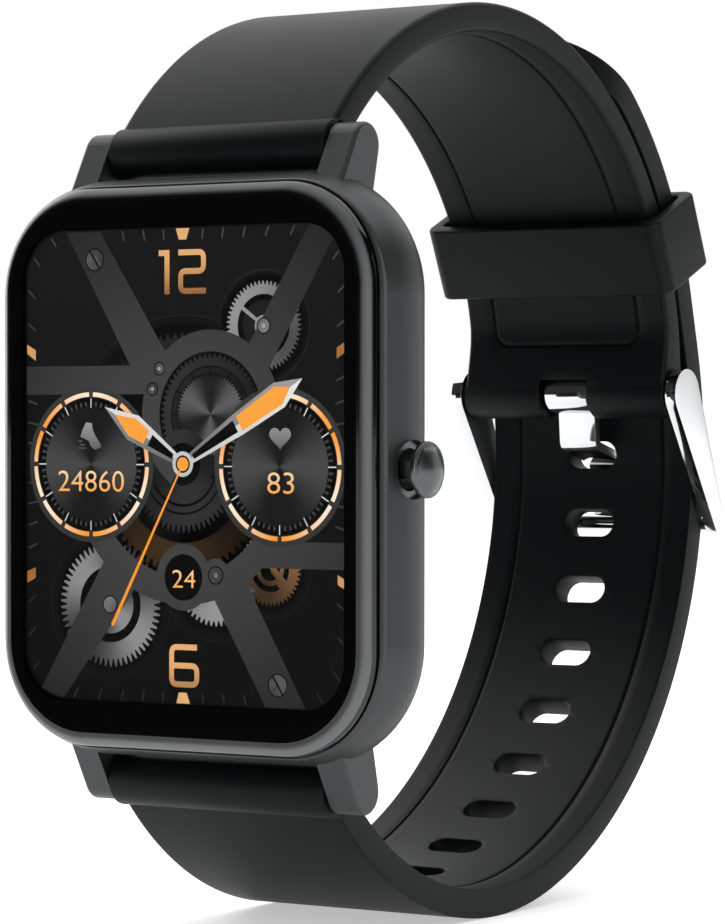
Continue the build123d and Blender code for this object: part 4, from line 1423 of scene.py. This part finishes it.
    def barrel(self, place: Point, radius: float, spans: Sequence[Point]) -> list[Object]:
        """Round ends that hold the spring bar, each with softened rims and a bore.

        Args:
            place: Y and Z of the axis.
            radius: outer radius.
            spans: (from, to) along X.

        Returns:
            The pieces.
        """
        made = []
        for start, stop in spans:
            Bench.clear()
            middle = ((start + stop) / 2 * MM, place[0] * MM, place[1] * MM)
            bpy.ops.mesh.primitive_cylinder_add(vertices=72, radius=radius * MM, depth=(stop - start) * MM,
                                                location=middle, rotation=(0, math.pi / 2, 0))
            obj = Bench.settle()
            Bench.edit(obj, lambda f: abs(f.normal.x) > 0.9, "FACE")
            bpy.ops.mesh.bevel(offset=0.1 * MM, segments=3, affect="EDGES")
            Bench.done()
            Bench.edit(obj, lambda f: abs(f.normal.x) > 0.99, "FACE")
            bpy.ops.mesh.inset(thickness=(radius - self.bore) * MM)
            bpy.ops.mesh.extrude_region_shrink_fatten(TRANSFORM_OT_shrink_fatten={"value": -0.4 * MM})
            Bench.done()
            made.append(obj)
        return made

    def build(self, material: Material, extras: Sequence[tuple]) -> None:
        """Makes the strap.

        Args:
            material: its finish.
            extras: barrels as (place, radius, spans).
        """
        obj = self.flat()
        self.soften(obj)
        self.carve(obj)
        if self.holes:
            self.punch(obj)
        Bench.modify(obj, "BEVEL", width=0.07, segments=2, limit_method="ANGLE", angle_limit=math.radians(55),
                     use_clamp_overlap=False)
        self.wrap(obj)
        barrels = [piece for extra in extras for piece in self.barrel(*extra)]
        obj = Bench.join(f"{self.name}_moulding", [obj, *barrels])
        Bench.clean(obj, 0.0004)
        Bench.smooth(obj, 40)
        Bench.dress(obj, material)
        Bench.hand_over(obj, "watch", "strap_silicone", self.name)


@dataclass
class Straps:
    """Both halves of the strap and their keeper."""

    wrist: Point = (20.62, 6.48)
    back: Point = (17.92, 0.74)
    under: Point = (20.176, -6.287)
    bar: Point = (-2.25, 24.15)
    pin: Point = (49.495, 5.951)
    bar_barrel: float = 2.05
    pin_barrel: float = 2.1
    wrist_radius: float = 28.1
    outer_radius: float = 30.65
    back_radius: float = 34.73
    under_radius: float = 27.35
    leave: float = 14.839
    first_hole: float = 72.055
    hole_pitch: float = 6.0
    keeper_turn: float = 24.15
    keeper_half: float = 3.25
    keeper_bore: tuple = ((27.62, -10.5), (33.25, 10.5))
    keeper_outside: tuple = ((26.32, -11.6), (34.3, 11.6))

    def build(self, material: Material) -> None:
        """Builds the three silicone pieces.

        Args:
            material: their finish.
        """
        columns = (0.0, 1.25, 2.45, 3.6, 4.8, 5.9, 6.2, 6.5, 6.8, 7.05, 7.35, 8.2, 9.1, 9.55, 10.0)
        upper = Strap("buckle_strap", (Bend(self.wrist, self.wrist_radius, 142.31, -143.36),), columns,
                      groove_stop=66.1, slot_from=69.0, swell=1.26)
        upper.build(material, [(self.bar, self.bar_barrel, [(-10, 10)]),
                               (self.pin, self.pin_barrel, [(-10, -upper.slot_half), (upper.slot_half, 10)])])
        way = Vector((math.cos(math.radians(self.leave)), math.sin(math.radians(self.leave))))
        start = Vector(self.back) + way * self.back_radius
        stop = Vector(self.wrist) + way * self.outer_radius
        bends = (
            Bend(self.under, self.under_radius, -141.46, 69.26),
            Bend(self.back, self.back_radius, -72.2, 87.039),
            Bend(tuple(start), 0.0, self.leave, (stop - start).length),
            Bend(self.wrist, self.outer_radius, self.leave, 51.161),
        )
        first = bends[0].length() + math.radians(self.first_hole) * self.back_radius
        holes = tuple(first - self.hole_pitch * i for i in range(-3, 9))
        lower = Strap("holed_strap", bends, columns, holes=holes, tip=9.0)
        lower.build(material, [((self.bar[0], -self.bar[1]), self.bar_barrel, [(-10, 10)])])
        self.keeper(material)

    def keeper(self, material: Material) -> None:
        """The loose loop round both straps.

        Args:
            material: its finish.
        """
        turn = math.radians(self.keeper_turn)
        out, along = Vector((0, math.cos(turn), math.sin(turn))), Vector((0, -math.sin(turn), math.cos(turn)))
        base = Vector((0, *self.wrist))
        outside, inside = rounded(*self.keeper_outside, 1.2, 11), rounded(*self.keeper_bore, 0.5, 11)
        sides, near, far = len(outside), -self.keeper_half, self.keeper_half
        Bench.clear()
        bpy.ops.mesh.primitive_circle_add(vertices=sides, radius=0.01, fill_type="NOTHING")
        obj = Bench.settle()
        count = sides
        route = ((outside, near), (outside, far), (inside, far), (inside, near))
        for step, (ring, place) in enumerate(route):
            if step:
                Bench.edit(obj, lambda v: v.index >= count - sides)
                bpy.ops.mesh.extrude_region_move()
                Bench.done()
            count = len(obj.data.vertices)
            for i, (u, v) in enumerate(ring):
                corner = base + out * u + Vector((v, 0, 0)) + along * place
                obj.data.vertices[count - sides + i].co = corner * MM
        Bench.edit(obj, lambda v: v.index < sides or v.index >= count - sides)
        bpy.ops.mesh.bridge_edge_loops()
        bpy.ops.mesh.select_all(action="SELECT")
        bpy.ops.mesh.normals_make_consistent(inside=False)
        Bench.done()
        Bench.modify(obj, "BEVEL", width=0.24 * MM, segments=4, limit_method="ANGLE",
                     angle_limit=math.radians(60))
        Bench.smooth(obj, 40)
        obj.name = obj.data.name = "keeper_loop"
        Bench.dress(obj, material)
        Bench.hand_over(obj, "strap_keeper", "strap_silicone", "keeper")


# ---------------------------------------------------------------- refined metal


def refined(node: str, name: str, body: str, slot: str, material: Material, bevel: float, angle: float = 40.0,
            merge: float = 0.6) -> Object:
    """A finer copy of a node with softened edges.

    Args:
        node: the carried-over node.
        name: the piece's name.
        body: body it rides on.
        slot: its material slot; not used.
        material: its finish.
        bevel: edge softening in millimetres.
        angle: edges sharper than this are softened.
        merge: faces that meet flatter than this, in degrees, become one.

    Returns:
        The piece.
    """
    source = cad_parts[node]
    obj = source.copy()
    obj.data = source.data.copy()
    obj.parent = None
    for key in list(obj.keys()):
        del obj[key]
    bpy.context.scene.collection.objects.link(obj)
    obj.name = obj.data.name = name
    Bench.clean(obj, 0.0008)
    if merge:
        Bench.edit(obj)
        bpy.ops.mesh.dissolve_limited(angle_limit=math.radians(merge))
        Bench.done()
    if bevel:
        Bench.modify(obj, "BEVEL", width=bevel * MM, segments=3, limit_method="ANGLE",
                     angle_limit=math.radians(angle), use_clamp_overlap=True)
    Bench.smooth(obj, angle)
    Bench.dress(obj, material)
    Bench.hand_over(obj, body, slot, node)
    return obj


@dataclass
class CoverGlass:
    """The curved cover glass, printed black behind its border, with a painted highlight band on its rounded
    rim.
    """

    half_width: float = 14.95
    low: float = -17.75
    high: float = 18.15
    corner: float = 3.8
    glass_half: tuple = (17.15, 21.3)
    glass_corner: float = 8.05
    # Insets in millimetres: where the painted highlight band fades out towards the flat, and where it fades
    # in from the rim.
    sheen_band: Point = (0.5, 0.95)
    sheen_lip: Point = (0.09, 0.2)

    def inset(self, x: Wire, z: Wire, half: Point, corner: float) -> Wire:
        """Distance inside a round-cornered rectangle, in metres.

        Args:
            x: place across.
            z: place up.
            half: half the rectangle's width and height.
            corner: radius of its rounding.

        Returns:
            The distance.
        """
        across = (x.sum("ABSOLUTE") - (half[0] - corner) * MM).sum("MAXIMUM", 0.0)
        up = (z.sum("ABSOLUTE") - (half[1] - corner) * MM).sum("MAXIMUM", 0.0)
        return corner * MM - (across * across + up * up).sum("SQRT")

    def material(self) -> Material:
        """Clear over the picture and black all round it, with a grey band of painted highlight along the
        rounded rim, lighter towards the bottom.

        Returns:
            The material.
        """
        g = Graph("printed cover glass with painted rim highlight")
        x, _, z = g.axes()
        middle = (self.low + self.high) / 2
        window = (self.half_width, (self.high - self.low) / 2)
        border = 0.0 - self.inset(x, z - middle * MM, window, self.corner) > 0.0
        # Painted highlight: a grey band along the rounded rim, lighter towards the bottom and darker towards
        # the top.
        depth = self.inset(x, z, self.glass_half, self.glass_corner)
        fade = g.fade(depth, self.sheen_band[0] * MM, self.sheen_band[1] * MM, False)
        fade = fade * g.fade(depth, self.sheen_lip[0] * MM, self.sheen_lip[1] * MM, True)
        grey = g.blend(z / (42.0 * MM) + 0.5, shade("5f6464"), shade("484c4c"))
        smear = g.noise(60.0, 3.0)
        clear = g.surface({"Base Color": (1.0, 1.0, 1.0), "Roughness": 0.0, "IOR": 1.5,
                           "Transmission Weight": 1.0})
        # Border colour: printed black, turning to the painted grey highlight near the rim.
        black = g.surface({"Base Color": g.blend(fade, (0.0015, 0.0015, 0.0018), grey), "IOR": 1.5,
                           "Roughness": smear * 0.03 + fade * 0.35 + 0.04})
        mixed = g.node("ShaderNodeMixShader", inputs={0: border, 1: clear, 2: black})
        return g.finish(mixed)

    def build(self) -> None:
        """Dresses the cover glass."""
        Bench.dress(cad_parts["cover_glass"], self.material())


def dress_nodes() -> dict[str, Material]:
    """Gives every carried-over node the finish of its slot, and hands the finishes back.

    Returns:
        The finishes by slot.
    """
    made = {slot: finish.make() for slot, finish in FINISHES.items()}
    for name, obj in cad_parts.items():
        slot = obj.data.materials[0].name.split(".")[0] if obj.data.materials else ""
        if slot in made:
            Bench.dress(obj, made[slot])
        else:
            LOG.info("%s keeps slot %s", name, slot)
    return made


def main() -> None:
    """Builds the watch and the studio in order."""
    logging.basicConfig(level=logging.INFO, format="%(name)s %(message)s")
    Studio().build()
    finishes = dress_nodes()
    Picture().build()
    Straps().build(finishes["strap_silicone"])
    chrome, satin = finishes["buckle_chrome"], finishes["crown_metal"]
    refined("buckle_frame", "buckle_frame_polished", "buckle", "buckle_chrome", chrome, 0.16)
    refined("buckle_tongue", "buckle_tongue_polished", "tongue", "buckle_chrome", chrome, 0.14)
    refined("crown_cap", "crown_button", "crown", "crown_metal", satin, 0.0, merge=0.0)
    CoverGlass().build()


if __name__ == "__main__":
    main()
